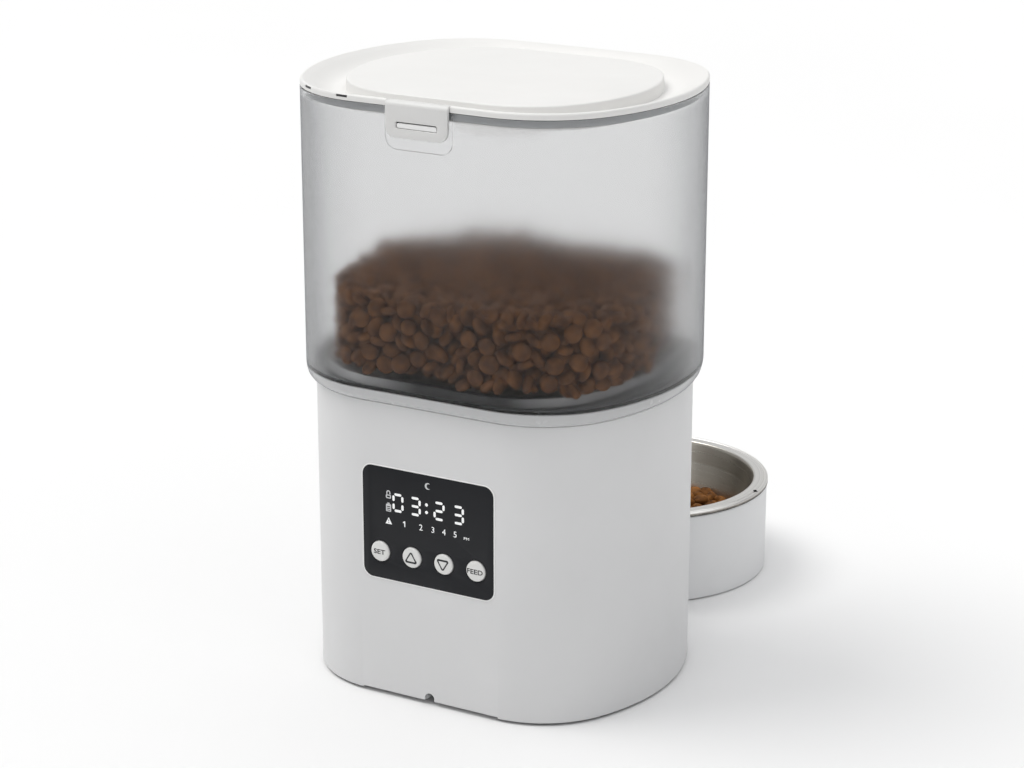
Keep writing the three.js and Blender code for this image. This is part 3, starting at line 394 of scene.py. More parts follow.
def finish_mesh(o, smooth_angle=32.0):
    me = o.data
    bm = bmesh.new()
    bm.from_mesh(me)
    bmesh.ops.recalc_face_normals(bm, faces=bm.faces)
    lim = math.radians(smooth_angle)
    for f in bm.faces:
        f.smooth = True
    for e in bm.edges:
        e.smooth = not (len(e.link_faces) != 2 or e.calc_face_angle(0) > lim)
    bm.to_mesh(me)
    bm.free()
    me.update()


def outline(A, B, flat, r1, ne=9, nc=13, nf=4):
    u = A - flat
    r2 = (u * u + B * B - 2 * B * r1) / (2 * (u - r1))
    c2 = A - r2
    ang = math.atan2(B - r1, flat - c2)
    q = [(c2 + r2 * math.cos(ang * i / ne), r2 * math.sin(ang * i / ne)) for i in range(ne + 1)]
    for i in range(1, nc + 1):
        t = ang + (math.pi / 2 - ang) * i / nc
        q.append((flat + r1 * math.cos(t), B - r1 + r1 * math.sin(t)))
    for i in range(1, nf // 2 + 1):
        q.append((flat * (1 - 2 * i / nf), B))
    left = [(-x, y) for x, y in reversed(q) if x > 1e-9]
    upper = q + left
    lower = [(x, -y) for x, y in reversed(upper[1:-1])]
    return np.array(upper + lower)


def inset(off, **k):
    return outline(HOP_A - off, HOP_B - off, FLAT, CORNER_R - off, **k)


def fillet(points, n=4):
    """points: (a, b, r). Rounds each corner of the polyline (closed) with radius r."""
    out = []
    m = len(points)
    for i, (a, b, r) in enumerate(points):
        p = Vector((a, b))
        if r <= 0:
            out.append((a, b))
            continue
        q = Vector(points[i - 1][:2])
        s = Vector(points[(i + 1) % m][:2])
        d1, d2 = (q - p), (s - p)
        l1, l2 = d1.length, d2.length
        d1.normalize()
        d2.normalize()
        cosang = max(-1, min(1, d1.dot(d2)))
        half = math.acos(cosang) / 2
        if half < 0.02 or half > math.pi / 2 - 0.01:
            out.append((a, b))
            continue
        t = min(r / math.tan(half), 0.49 * l1, 0.49 * l2)
        rr = t * math.tan(half)
        c = p + (d1 + d2).normalized() * (rr / math.sin(half))
        e1, e2 = p + d1 * t, p + d2 * t
        a1 = math.atan2(e1.y - c.y, e1.x - c.x)
        a2 = math.atan2(e2.y - c.y, e2.x - c.x)
        da = (a2 - a1 + math.pi) % (2 * math.pi) - math.pi
        for k in range(n + 1):
            t_ = a1 + da * k / n
            out.append((c.x + rr * math.cos(t_), c.y + rr * math.sin(t_)))
    return out


def loft(name, rings, material, closed=False, smooth_angle=32.0):
    """rings: list of (points (n, 2) in mm, z in mm). closed: the rings close on themselves, else both ends are capped."""
    n = len(rings[0][0])
    verts, faces = [], []
    for pts, z in rings:
        for x, y in pts:
            verts.append((x * MM, y * MM + SY, z * MM))
    m = len(rings)
    for k in range(m if closed else m - 1):
        a, b = k * n, ((k + 1) % m) * n
        for i in range(n):
            j = (i + 1) % n
            faces.append((a + i, a + j, b + j, b + i))
    if not closed:
        faces.append(tuple(range(n)))
        faces.append(tuple((m - 1) * n + i for i in reversed(range(n))))
    return link(name, verts, faces, material, smooth_angle)


def plan_loft(name, profile, material, closed=True, **k):
    return loft(name, [(inset(off), z) for off, z in profile], material, closed, **k)


def lathe(name, profile, material, centre=(0, 0), n=128, smooth_angle=32.0):
    """profile: (r, z) in mm. Ends on the axis are closed with a fan; a profile that stays off the axis closes on itself."""
    axis0, axis1 = profile[0][0] < 1e-6, profile[-1][0] < 1e-6
    verts, faces, rows = [], [], []
    for r, z in profile:
        if r < 1e-6:
            rows.append([len(verts)])
            verts.append((centre[0] * MM, centre[1] * MM + SY, z * MM))
        else:
            rows.append(list(range(len(verts), len(verts) + n)))
            for i in range(n):
                t = 2 * math.pi * i / n
                verts.append(((centre[0] + r * math.cos(t)) * MM, (centre[1] + r * math.sin(t)) * MM + SY, z * MM))
    pairs = list(zip(rows, rows[1:]))
    if not (axis0 or axis1):
        pairs.append((rows[-1], rows[0]))
    for a, b in pairs:
        for i in range(n):
            j = (i + 1) % n
            if len(a) == 1 and len(b) == 1:
                continue
            if len(a) == 1:
                faces.append((a[0], b[j], b[i]))
            elif len(b) == 1:
                faces.append((a[i], a[j], b[0]))
            else:
                faces.append((a[i], a[j], b[j], b[i]))
    return link(name, verts, faces, material, smooth_angle)


def round_rect(x0, x1, z0, z1, r, n=8):
    pts = []
    for cx, cz, a in ((x1 - r, z1 - r, 0), (x0 + r, z1 - r, 90), (x0 + r, z0 + r, 180), (x1 - r, z0 + r, 270)):
        for i in range(n + 1):
            t = math.radians(a + 90 * i / n)
            pts.append((cx + r * math.cos(t), cz + r * math.sin(t)))
    return pts


def prism_y(name, loop, y0, y1, material, smooth_angle=32.0):
    """loop in (x, z), pushed out along Y from y0 to y1, all in mm."""
    n = len(loop)
    verts = [(x * MM, y0 * MM + SY, z * MM) for x, z in loop] + [(x * MM, y1 * MM + SY, z * MM) for x, z in loop]
    faces = [(i, (i + 1) % n, n + (i + 1) % n, n + i) for i in range(n)]
    faces += [tuple(range(n)), tuple(reversed(range(n, 2 * n)))]
    return link(name, verts, faces, material, smooth_angle)


def prism_x(name, loop, x0, x1, material, smooth_angle=32.0):
    n = len(loop)
    verts = [(x0 * MM, y * MM + SY, z * MM) for y, z in loop] + [(x1 * MM, y * MM + SY, z * MM) for y, z in loop]
    faces = [(i, (i + 1) % n, n + (i + 1) % n, n + i) for i in range(n)]
    faces += [tuple(range(n)), tuple(reversed(range(n, 2 * n)))]
    return link(name, verts, faces, material, smooth_angle)


def prism_z(name, loop, z0, z1, material, smooth_angle=32.0):
    n = len(loop)
    verts = [(x * MM, y * MM + SY, z0 * MM) for x, y in loop] + [(x * MM, y * MM + SY, z1 * MM) for x, y in loop]
    faces = [(i, (i + 1) % n, n + (i + 1) % n, n + i) for i in range(n)]
    faces += [tuple(range(n)), tuple(reversed(range(n, 2 * n)))]
    return link(name, verts, faces, material, smooth_angle)


def block(name, x0, x1, y0, y1, z0, z1, material):
    return prism_z(name, [(x0, y0), (x1, y0), (x1, y1), (x0, y1)], z0, z1, material)


def circle(r, cx=0.0, cy=0.0, n=48, a0=0.0):
    return [(cx + r * math.cos(a0 + 2 * math.pi * i / n), cy + r * math.sin(a0 + 2 * math.pi * i / n)) for i in range(n)]


def boolean(o, tools, operation="DIFFERENCE"):
    """Cuts or joins tools (which are removed) into o, and leaves o as plain mesh."""
    for t in tools:
        mod = o.modifiers.new("bool", "BOOLEAN")
        mod.operation = operation
        mod.solver = "EXACT"
        mod.object = t
    bake_modifiers(o)
    for t in tools:
        me = t.data
        bpy.data.objects.remove(t)
        bpy.data.meshes.remove(me)
    return o


def bake_modifiers(o):
    bpy.context.view_layer.update()
    dg = bpy.context.evaluated_depsgraph_get()
    me = bpy.data.meshes.new_from_object(o.evaluated_get(dg), preserve_all_data_layers=True, depsgraph=dg)
    old = o.data
    o.modifiers.clear()
    o.data = me
    me.name = o.name
    bpy.data.meshes.remove(old)


def bevel(o, width, segments=2, angle=30.0, smooth_angle=40.0):
    """Rounds sharp edges, so that they catch the light."""
    bm = bmesh.new()
    bm.from_mesh(o.data)
    bmesh.ops.remove_doubles(bm, verts=bm.verts, dist=2e-6)
    bmesh.ops.dissolve_limit(bm, angle_limit=math.radians(1.0), verts=bm.verts, edges=bm.edges)
    bm.to_mesh(o.data)
    bm.free()
    mod = o.modifiers.new("bevel", "BEVEL")
    mod.width = width * MM
    mod.segments = segments
    mod.limit_method = "ANGLE"
    mod.angle_limit = math.radians(angle)
    mod.use_clamp_overlap = True
    mod.harden_normals = False
    bake_modifiers(o)
    finish_mesh(o, smooth_angle)
    return o


def refined(node, body, material, width=0.3, angle=35.0, name=None):
    """A CAD solid again, with its edges broken."""
    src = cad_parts[node]
    me = src.data.copy()
    o = bpy.data.objects.new(name or node + "_finished", me)
    scene.collection.objects.link(o)
    me.materials.clear()
    me.materials.append(material)
    bm = bmesh.new()
    bm.from_mesh(me)
    bmesh.ops.remove_doubles(bm, verts=bm.verts, dist=2e-6)
    for f in bm.faces:
        f.material_index = 0
    bm.to_mesh(me)
    bm.free()
    bevel(o, width, 2, angle, 42.0)
    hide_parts(node)
    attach(o, body)
    return o


def place(o, body, *nodes, slot=None):
    if nodes:
        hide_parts(*nodes)
    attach(o, body)
    return o


NONE = MAT["dark"]

# ------------------------------------------------------------------ base
prof = fillet([
    (BODY_IN, Z_BODY_LOW, 0.5), (BODY_IN, 157.3, 0.25), (BODY_IN + 1.1, 157.3, 0), (BODY_IN + 1.1, Z_BODY_TOP, 0), (BODY_IN + WALL, Z_BODY_TOP, 0.3),
    (BODY_IN + WALL, 149.8, 0), (BODY_IN + WALL + 2.6, 149.8, 0), (BODY_IN + WALL + 2.6, 147.4, 0), (BODY_IN + WALL, 147.4, 0),
    (BODY_IN + WALL, Z_BODY_LOW, 0.2),
], 4)
base = plan_loft("base_housing", prof, MAT["body"])
cutters = [
    prism_y("c1", round_rect(-PANEL_W / 2 - 0.72, PANEL_W / 2 + 0.72, PANEL_Z0 - 0.72, PANEL_Z1 + 0.72, PANEL_R + 0.7, 10), 60, 90, NONE),
    prism_y("c2", round_rect(-20.4, 20.4, 62.6, 100.6, 0.5, 2), -90, -60, NONE),
    block("c3", -22.6, 22.6, -90, -60, 4.6, 9.6, NONE),
    prism_y("c4", [(-2.8, -2), (2.8, -2), (2.8, 3.7)] + [(2.8 * math.cos(math.radians(a)), 3.7 + 2.8 * math.sin(math.radians(a))) for a in range(12, 180, 12)] + [(-2.8, 3.7)], 60, 90, NONE),
    block("c5", -40.0, 40.0, 60, 90, 0, 2.5, NONE),
]
boolean(base, cutters)
finish_mesh(base)
place(base, "base", "base_shell", slot="body_plastic")

# ------------------------------------------------------------------ hopper
HQ = dict(ne=9, nc=13, nf=4)
SHELF = outline(79.0, 68.7, 28.0, 43.5, **HQ)
tank_rings = [(inset(off), z) for off, z in fillet([
    (8.2, Z_HOP_LOW, 0.3), (3.5, Z_HOP_LOW, 0.5), (2.2, 159.5, 0), (1.05, 161.2, 0), (0.35, 163.4, 0), (0.05, 165.8, 0), (0, 168.0, 0), (0, 168.7, 0),
    (0, Z_HOP_TOP - 1.4, 0), (0, Z_HOP_TOP, 0.5), (HOP_WALL, Z_HOP_TOP, 0.5), (HOP_WALL, Z_HOP_TOP - 1.4, 0), (HOP_WALL, 168.0, 0), (HOP_WALL, 166.0, 0.8), (12.6, 166.0, 0)], 4)]
tank_rings += [(SHELF, 166.0), (SHELF, 162.6), (inset(9.6), 162.6)]
tank = loft("frosted_hopper", tank_rings, MAT["tank"], True)
pocket = prism_y("c6", round_rect(-18.7, 18.7, 288.2, 330, 6.2, 8), HOP_B - 0.9, HOP_B + 5, NONE)
boolean(tank, [pocket])
finish_mesh(tank, 28.0)
place(tank, "tank", "hopper_tank", slot="tank_plastic")
rib = prism_y("catch_rib", round_rect(-10.6, 10.6, 299.2, 301.4, 0.6, 4), HOP_B - 0.95, LATCH_IN - 0.35, MAT["latch"])
place(rib, "tank", slot="lid_plastic")


def ring_round(r, n_like):
    k = len(n_like)
    return np.array([(r * math.cos(2 * math.pi * i / k), r * math.sin(2 * math.pi * i / k)) for i in range(k)])


deep = lambda d: outline(84.0 - d, 79.3 - d, 30.0, 50.0 - d, **HQ)
like = deep(0)
rr = lambda r, z: (ring_round(r, like), z)
oo = lambda d, z: (deep(d), z)
floor_rings = [rr(56.2, 152.9), rr(56.5, 153.4)]
a0, a1 = ring_round(57.4, like), deep(11.2)
for t in (0.0, 0.25, 0.5, 0.75, 1.0):
    floor_rings.append((a0 * (1 - t) + a1 * t, 154.3 + (168.9 - 154.3) * t))
floor_rings += [oo(9.8, 169.4), oo(1.4, 170.5), oo(0.6, 170.9), oo(0.2, 171.2), oo(0, 170.9), oo(0, 166.6), oo(0.2, 166.4), oo(12.6, 166.4), rr(60.2, 152.8), rr(60.0, 152.6), rr(56.5, 152.6)]
funnel = loft("funnel", floor_rings, MAT["funnel"], True)
sector = [(r * math.cos(math.radians(a)), r * math.sin(math.radians(a))) for r, seq in ((58.6, range(-120, -59, 4)), (50.0, range(-60, -121, -4))) for a in seq]
boolean(funnel, [prism_z("c7", sector, 150, 155.1, NONE)])
finish_mesh(funnel)
place(funnel, "tank", "hopper_floor", slot="dark_plastic")
well = lathe("portion_well_cup", fillet([(0, 127.0, 0), (58.4, 127.0, 0.8), (58.4, 152.3, 0.4), (56.2, 152.3, 0.4), (56.2, 129.5, 1.2), (0, 129.5, 0)], 4), MAT["dark"], (0, 0), 96)
boolean(well, [prism_z("c8", circle(8.5, n=40), 110, 150, NONE), prism_z("c8b", round_rect(-16, 16, -50, -25, 3, 5), 110, 140, NONE)])
finish_mesh(well)
place(well, "tank", "portion_well", slot="dark_plastic")

# ------------------------------------------------------------------ lid
PLAT = (78.4, 66.2, 25.0, 48.5)


def plateau(d):
    return outline(PLAT[0] - d, PLAT[1] - d, PLAT[2], PLAT[3] - d)


def shrunk(d, k):
    """The raised middle's outline at inset d, drawn in towards the middle to k of its size."""
    return plateau(d) * k


def between(t, za):
    """The dished border: t from 0 at inset 3 to 1 at the raised middle's foot."""
    a, b = inset(3.0), plateau(-1.3)
    return (a * (1 - t) + b * t, za)


lid_rings = [(shrunk(1.6, 0.002), 311.4), (shrunk(1.6, 0.5), 311.4), (plateau(1.6), 311.4), (plateau(1.0), 311.36), (plateau(0.5), 311.2), (plateau(0.15), 310.9), (plateau(0), 310.4), (plateau(-0.04), 306.4), (plateau(-0.1), 305.1), (plateau(-0.25), 304.9), (plateau(-0.8), 304.95), (plateau(-1.3), 305.2)]
for t, z in ((0.93, 305.25), (0.82, 305.28), (0.7, 305.62), (0.56, 306.35), (0.42, 307.45), (0.28, 308.85), (0.14, 310.35), (0.05, 311.25)):
    lid_rings.append(between(t, z))
lid_rings += [(inset(2.3), 311.75), (inset(1.8), 312.05), (inset(1.35), 312.18), (inset(0.95), 312.16), (inset(0.5), 311.95), (inset(0.2), 311.6), (inset(0.04), 311.15), (inset(0), 310.7), (inset(0), 309.2), (inset(0.15), 309.0),
              (inset(4.5), 309.0), (inset(4.5), 304.5), (inset(4.8), 304.2), (inset(6.0), 304.2), (inset(6.3), 304.5), (inset(6.3), 305.6),
              (inset(11.0), 303.9), (plateau(2.2), 303.9), (plateau(2.2), 309.2), (shrunk(2.2, 0.002), 309.2)]
lid = loft("lid_cover", lid_rings, MAT["lid"])


def rim_slot(x, y, a, length):
    o = block("c9", -length / 2, length / 2, -1.5, 1.5, -0.1, 1.1, NONE)
    o.data.transform(Matrix.Translation((0, -SY, 0)))
    o.data.transform(Matrix.Translation((x * MM, y * MM + SY, 310.5 * MM)) @ Matrix.Rotation(a, 4, "Z"))
    return o


boolean(lid, [block("c10", -LATCH_W / 2 - 0.4, LATCH_W / 2 + 0.4, 78.6, 90, 305, 320, NONE), rim_slot(43.4, 82.25, -0.104, 6.8), rim_slot(69.0, 73.1, -0.6, 7.0)])
finish_mesh(lid, 36.0)
place(lid, "lid", "lid_shell", slot="lid_plastic")
# Dark blocks in the rim slots: painted shade for the slots' depth.
for i, (x, y, a, length) in enumerate(((43.4, 82.25, -0.104, 6.7), (69.0, 73.1, -0.6, 6.9))):
    o = block(f"rim_slot_painted_shade_{i + 1}", -length / 2, length / 2, -1.4, -0.4, -0.08, 1.08, MAT["dark"])
    o.data.transform(Matrix.Translation((0, -SY, 0)))
    o.data.transform(Matrix.Translation((x * MM, y * MM + SY, 310.5 * MM)) @ Matrix.Rotation(a, 4, "Z"))
    place(o, "lid")

seal = plan_loft("seal_ring", fillet([(2.7, 304.9, 0.4), (2.7, 308.4, 0.4), (4.2, 308.4, 0.3), (4.2, 304.9, 0.3)], 3), MAT["silicone"])
place(seal, "lid", "lid_seal", slot="seal_silicone")
# A dark ring in the gap between lid and hopper: painted shade for the dark line there.
shade_ring = plan_loft("seal_painted_shade_ring", [(0.75, 308.66), (0.75, 308.97), (3.6, 308.97), (3.6, 308.66)], MAT["seal_dark"])
place(shade_ring, "lid", slot="seal_silicone")

# latch: the side profile pushed out along X, with rounded lower corners, a slot, and broken edges
side = [(LATCH_IN, LATCH_Z0), (LATCH_FACE, LATCH_Z0), (LATCH_FACE, 309.4)]
side += [(LATCH_FACE - 2.7 + 2.7 * math.cos(math.radians(a)), 309.4 + 2.7 * math.sin(math.radians(a))) for a in range(10, 91, 10)]
side += [(PIVOT_Y, PIVOT_Z + 1.5)]
side += [(PIVOT_Y + 1.5 * math.cos(math.radians(a)), PIVOT_Z + 1.5 * math.sin(math.radians(a))) for a in range(105, 271, 15)]
side += [(LATCH_IN, PIVOT_Z - 1.5)]
latch = prism_x("latch_plate", side, -LATCH_W / 2, LATCH_W / 2, MAT["latch"])
keep = prism_y("k1", round_rect(-LATCH_W / 2 - 0.0, LATCH_W / 2 + 0.0, LATCH_Z0, 340, 5.6, 10), 60, 100, NONE)
boolean(latch, [keep], "INTERSECT")
boolean(latch, [prism_y("c11", round_rect(-11.5, 11.5, 299.0, 302.2, 1.0, 5), 80, 90, NONE)])
bevel(latch, 0.35, 3, 40.0, 50.0)
place(latch, "latch", "lid_latch", slot="lid_plastic")
# In the latch slot: a dark backing shows as a thin dark line round the web, painted shade; the web is of the lighter
# white plastic, painted light in the slot.
back = prism_y("latch_slot_painted_shade", round_rect(-11.45, 11.45, 299.05, 302.15, 0.95, 5), LATCH_IN + 0.05, LATCH_IN + 0.3, MAT["dark"])
place(back, "latch", slot="lid_plastic")
web = prism_y("latch_slot_web_painted_light", round_rect(-11.1, 10.9, 299.3, 301.6, 0.8, 5), LATCH_IN + 0.3, LATCH_FACE - 0.4, MAT["painted_light_white"])
place(web, "latch", slot="lid_plastic")

# ------------------------------------------------------------------ control panel
panel = prism_y("panel_plate", round_rect(-PANEL_W / 2, PANEL_W / 2, PANEL_Z0, PANEL_Z1, PANEL_R, 10), FACE - 1.9, FACE + 0.4, MAT["panel"])
KEYS = [1.5 * BUTTON_PITCH, 0.5 * BUTTON_PITCH, -0.5 * BUTTON_PITCH, -1.5 * BUTTON_PITCH]
boolean(panel, [prism_y("c12", circle(BUTTON_R + 0.35, x, BUTTON_Z, 48), FACE - 8, FACE + 4, NONE) for x in KEYS])
bevel(panel, 0.18, 2, 40.0, 50.0)
place(panel, "base", slot="panel")
frame_back = prism_y("panel_backing", round_rect(-PANEL_W / 2 - 1.8, PANEL_W / 2 + 1.8, PANEL_Z0 - 2.4, PANEL_Z1 + 2.4, PANEL_R, 8), FACE - WALL - 2.0, FACE - WALL - 0.55, MAT["dark"])
boolean(frame_back, [prism_y("c13", circle(BUTTON_R + 1.6, x, BUTTON_Z, 40), FACE - 8, FACE + 4, NONE) for x in KEYS])
place(frame_back, "base", "display_bezel", slot="panel")


# A white ring round the panel's window: painted highlight along the window's edge.
painted_light_white = prism_y("window_edge_painted_highlight", round_rect(-PANEL_W / 2 - 0.7, PANEL_W / 2 + 0.7, PANEL_Z0 - 0.7, PANEL_Z1 + 0.7, PANEL_R + 0.7, 10), FACE - 1.5, FACE + 0.3, MAT["painted_light_white"])
boolean(painted_light_white, [prism_y("c15", round_rect(-PANEL_W / 2 - 0.04, PANEL_W / 2 + 0.04, PANEL_Z0 - 0.04, PANEL_Z1 + 0.04, PANEL_R + 0.04, 10), FACE - 4, FACE + 4, NONE)])
bevel(painted_light_white, 0.16, 2, 40.0, 60.0)
place(painted_light_white, "base", slot="body_plastic")


def key_height(r):
    """Height of a key's face above its foot, mm."""
    edge = BUTTON_R - 1.15
    if r <= edge:
        return 6.15 - 0.16 * (r / edge) ** 2
    t = min(1.0, (r - edge) / 1.15)
    return 5.99 - 1.1 * (1 - math.sqrt(max(0.0, 1 - t * t)))


def key(name, x, body, node):
    prof = [(0, 0), (BUTTON_R + 1.0, 0), (BUTTON_R + 1.0, 0.9), (BUTTON_R, 0.9), (BUTTON_R, 4.6)]
    n = 10
    for i in range(n + 1):
        t = 1 - i / n
        r = BUTTON_R - 1.15 + 1.15 * math.sin(t * math.pi / 2)
        prof.append((r, key_height(r)))
    for r in (3.2, 2.1, 1.0):
        prof.append((r, key_height(r)))
    prof.append((0, key_height(0)))
    o = lathe(name, prof, MAT["key"], (0, 0), 64, 40)
    # stand the turned solid on the panel: local Z becomes +Y
    o.data.transform(Matrix.Translation((0, -SY, 0)))
    o.data.transform(Matrix.Translation((x * MM, (FACE - 4.7) * MM + SY, BUTTON_Z * MM)) @ Matrix.Rotation(-math.pi / 2, 4, "X"))
    finish_mesh(o, 40)
    return place(o, body, node, slot="key")


KEY_BODIES = ["set_key", "up_key", "down_key", "feed_key"]
KEY_NODES = ["button_set", "button_up", "button_down", "button_feed"]
for x, b, nd in zip(KEYS, KEY_BODIES, KEY_NODES):
    key(nd + "_cap", x, b, nd)


# Marks are thin solids. (u, v): u runs to the right as seen from the rear (towards -X), v is z, both in mm.
def flat_mark(name, loops, material, body, surface, thick=0.06):
    """loops: outlines and holes as closed lists of (u, v). surface(u, v) gives the height along Y in mm."""
    cu = bpy.data.curves.new(name, "CURVE")
    cu.dimensions = "2D"
    cu.fill_mode = "BOTH"
    cu.extrude = 0.5
    for lp in loops:
        sp = cu.splines.new("POLY")
        sp.points.add(len(lp) - 1)
        for p, (u, v) in zip(sp.points, lp):
            p.co = (u, v, 0, 1)
        sp.use_cyclic_u = True
    return mark_mesh(name, cu, material, body, surface, thick)


def mark_mesh(name, curve, material, body, surface, thick, move=None):
    tmp = bpy.data.objects.new(name + "_c", curve)
    scene.collection.objects.link(tmp)
    bpy.context.view_layer.update()
    dg = bpy.context.evaluated_depsgraph_get()
    me = bpy.data.meshes.new_from_object(tmp.evaluated_get(dg), depsgraph=dg)
    bpy.data.objects.remove(tmp)
    bm = bmesh.new()
    bm.from_mesh(me)
    bmesh.ops.remove_doubles(bm, verts=bm.verts, dist=1e-4)
    if move:
        for v in bm.verts:
            v.co.x, v.co.y = move(v.co.x, v.co.y)
    for v in bm.verts:
        u, w, top = v.co.x, v.co.y, v.co.z > 0
        y = surface(u, w) + (thick if top else -0.12)
        v.co = Vector((-u * MM, y * MM + SY, w * MM))
    bmesh.ops.recalc_face_normals(bm, faces=bm.faces)
    bm.to_mesh(me)
    bm.free()
    me.materials.clear()
    me.materials.append(material)
    me.name = name
    o = bpy.data.objects.new(name, me)
    scene.collection.objects.link(o)
    return place(o, body)


def text_mark(name, text, u, v, height, material, body, surface, width=None, thick=0.06, bold=0.0):
    cu = bpy.data.curves.new(name, "FONT")
    cu.body = text
    cu.size = 1.0
    cu.extrude = 0.5
    cu.resolution_u = 3
    cu.offset = bold
    tmp = bpy.data.objects.new(name + "_m", cu)
    scene.collection.objects.link(tmp)
    bpy.context.view_layer.update()
    dg = bpy.context.evaluated_depsgraph_get()
    me = bpy.data.meshes.new_from_object(tmp.evaluated_get(dg), depsgraph=dg)
    xs = [p.co.x for p in me.vertices]
    ys = [p.co.y for p in me.vertices]
    bpy.data.objects.remove(tmp)
    bpy.data.meshes.remove(me)
    sy = height / (max(ys) - min(ys))
    sx = width / (max(xs) - min(xs)) if width else sy
    cx, cy = (max(xs) + min(xs)) / 2, (max(ys) + min(ys)) / 2
    return mark_mesh(name, cu, material, body, surface, thick, lambda a, b: (u + (a - cx) * sx, v + (b - cy) * sy))


PANEL_FACE = lambda u, v: FACE + 0.4


def capsule(u0, v0, u1, v1, w, n=6):
    a = math.atan2(v1 - v0, u1 - u0)
    pts = []
    for cx, cy, s in ((u1, v1, a - math.pi / 2), (u0, v0, a + math.pi / 2)):
        for i in range(n + 1):
            t = s + math.pi * i / n
            pts.append((cx + w / 2 * math.cos(t), cy + w / 2 * math.sin(t)))
    return pts


SEG = {"0": "abcdef", "2": "abged", "3": "abgcd"}


def digit(ch, u, v, w=5.2, h=8.6, t=1.3, gh=1.2, gv=1.32):
    """Separate rounded bars, as on a lit segment display."""
    l, r, b, m, top = u - w / 2, u + w / 2, v - h / 2, v, v + h / 2
    bars = {
        "a": (l + gh, top, r - gh, top), "d": (l + gh, b, r - gh, b), "g": (l + gh, m, r - gh, m),
        "f": (l, m + gv, l, top - gv), "e": (l, b + gv, l, m - gv),
        "b": (r, m + gv, r, top - gv), "c": (r, b + gv, r, m - gv),
    }
    return [capsule(*bars[s], t) for s in SEG[ch]]


for i, (ch, u) in enumerate((("0", -17.1), ("3", -7.0), ("2", 6.9), ("3", 18.0))):
    for k, lp in enumerate(digit(ch, u, 106.5)):
        flat_mark(f"clock_{i}_{k}", [lp], MAT["glyph"], "base", PANEL_FACE)
for i, v in enumerate((108.6, 104.6)):
    flat_mark(f"colon_{i}", [circle(0.85, -0.4, v, 16)], MAT["glyph"], "base", PANEL_FACE)
flat_mark("meal_1", [[(-13.55, 94.45), (-13.0, 94.45), (-13.0, 97.55), (-13.45, 97.55), (-14.3, 96.75), (-14.3, 96.2), (-13.55, 96.75)]], MAT["glyph"], "base", PANEL_FACE)
for ch, u in (("2", -3.8), ("3", 3.2), ("4", 9.6), ("5", 16.1)):
    text_mark(f"meal_{ch}", ch, u, 96.0, 3.1, MAT["glyph"], "base", PANEL_FACE)
text_mark("pm_mark", "PM", 22.6, 94.9, 1.35, MAT["glyph"], "base", PANEL_FACE, 3.0)
# padlock
flat_mark("lock_body", [round_rect(-24.2, -21.2, 108.0, 110.0, 0.5, 4), round_rect(-23.6, -21.8, 108.5, 109.5, 0.3, 3)], MAT["glyph_dim"], "base", PANEL_FACE)
flat_mark("lock_bow", [[(-23.9, 110.2), (-23.9, 111.1)] + [(-22.7 + 1.2 * math.cos(math.radians(a)), 111.1 + 1.2 * math.sin(math.radians(a))) for a in range(170, -1, -20)] + [(-21.5, 110.2), (-22.1, 110.2), (-22.1, 111.1)] + [(-22.7 + 0.6 * math.cos(math.radians(a)), 111.1 + 0.6 * math.sin(math.radians(a))) for a in range(10, 181, 20)] + [(-23.3, 110.2)]], MAT["glyph_dim"], "base", PANEL_FACE)
# battery
flat_mark("cell_mark", [round_rect(-24.2, -21.2, 101.0, 105.0, 0.4, 3), [(-23.6, 103.9), (-21.8, 103.9), (-21.8, 103.4), (-23.6, 103.4)], [(-23.6, 102.9), (-21.8, 102.9), (-21.8, 102.4), (-23.6, 102.4)], [(-23.6, 101.9), (-21.8, 101.9), (-21.8, 101.5), (-23.6, 101.5)]], MAT["glyph_dim"], "base", PANEL_FACE)
flat_mark("cell_cap", [round_rect(-23.4, -22.0, 105.1, 105.7, 0.2, 2)], MAT["glyph_dim"], "base", PANEL_FACE)
# warning triangle
flat_mark("alert_mark", [[(-24.6, 94.4), (-20.8, 94.4), (-22.7, 97.9)], [(-22.95, 95.7), (-22.45, 95.7), (-22.5, 96.9), (-22.9, 96.9)], circle(0.28, -22.7, 95.15, 10)], MAT["glyph"], "base", PANEL_FACE)
# a plain crescent, where the panel carries a small sign
crescent = [(0.5 + 1.75 * math.cos(math.radians(a)), 118.5 + 1.75 * math.sin(math.radians(a))) for a in range(50, 311, 20)]
crescent += [(1.1 + 1.3 * math.cos(math.radians(a)), 118.5 + 1.3 * math.sin(math.radians(a))) for a in range(285, 74, -21)]
flat_mark("crescent_mark", [crescent], MAT["glyph_dim"], "base", PANEL_FACE)


def key_surface(x):
    u0 = -x
    return lambda u, v: FACE - 4.7 + key_height(math.hypot(u - u0, v - BUTTON_Z))


def soft_triangle(u, v, half, height, r, up=True, n=5):
    s = 1 if up else -1
    pts = [(u - half, v - s * height * 0.42), (u + half, v - s * height * 0.42), (u, v + s * height * 0.58)]
    if not up:
        pts = pts[::-1]
    return fillet([(a, b, r) for a, b in pts], n)


text_mark("set_word", "SET", -KEYS[0], BUTTON_Z, 2.5, MAT["ink"], "set_key", key_surface(KEYS[0]), 6.7, 0.1, 0.008)
text_mark("feed_word", "FEED", -KEYS[3], BUTTON_Z, 2.5, MAT["ink"], "feed_key", key_surface(KEYS[3]), 8.9, 0.1, 0.008)
for nm, x, body, up in (("up_sign", KEYS[1], "up_key", True), ("down_sign", KEYS[2], "down_key", False)):
    flat_mark(nm, [soft_triangle(-x, BUTTON_Z, 3.95, 6.5, 0.85, up), soft_triangle(-x, BUTTON_Z, 2.6, 4.3, 0.3, up)], MAT["ink"], body, key_surface(x), 0.12)

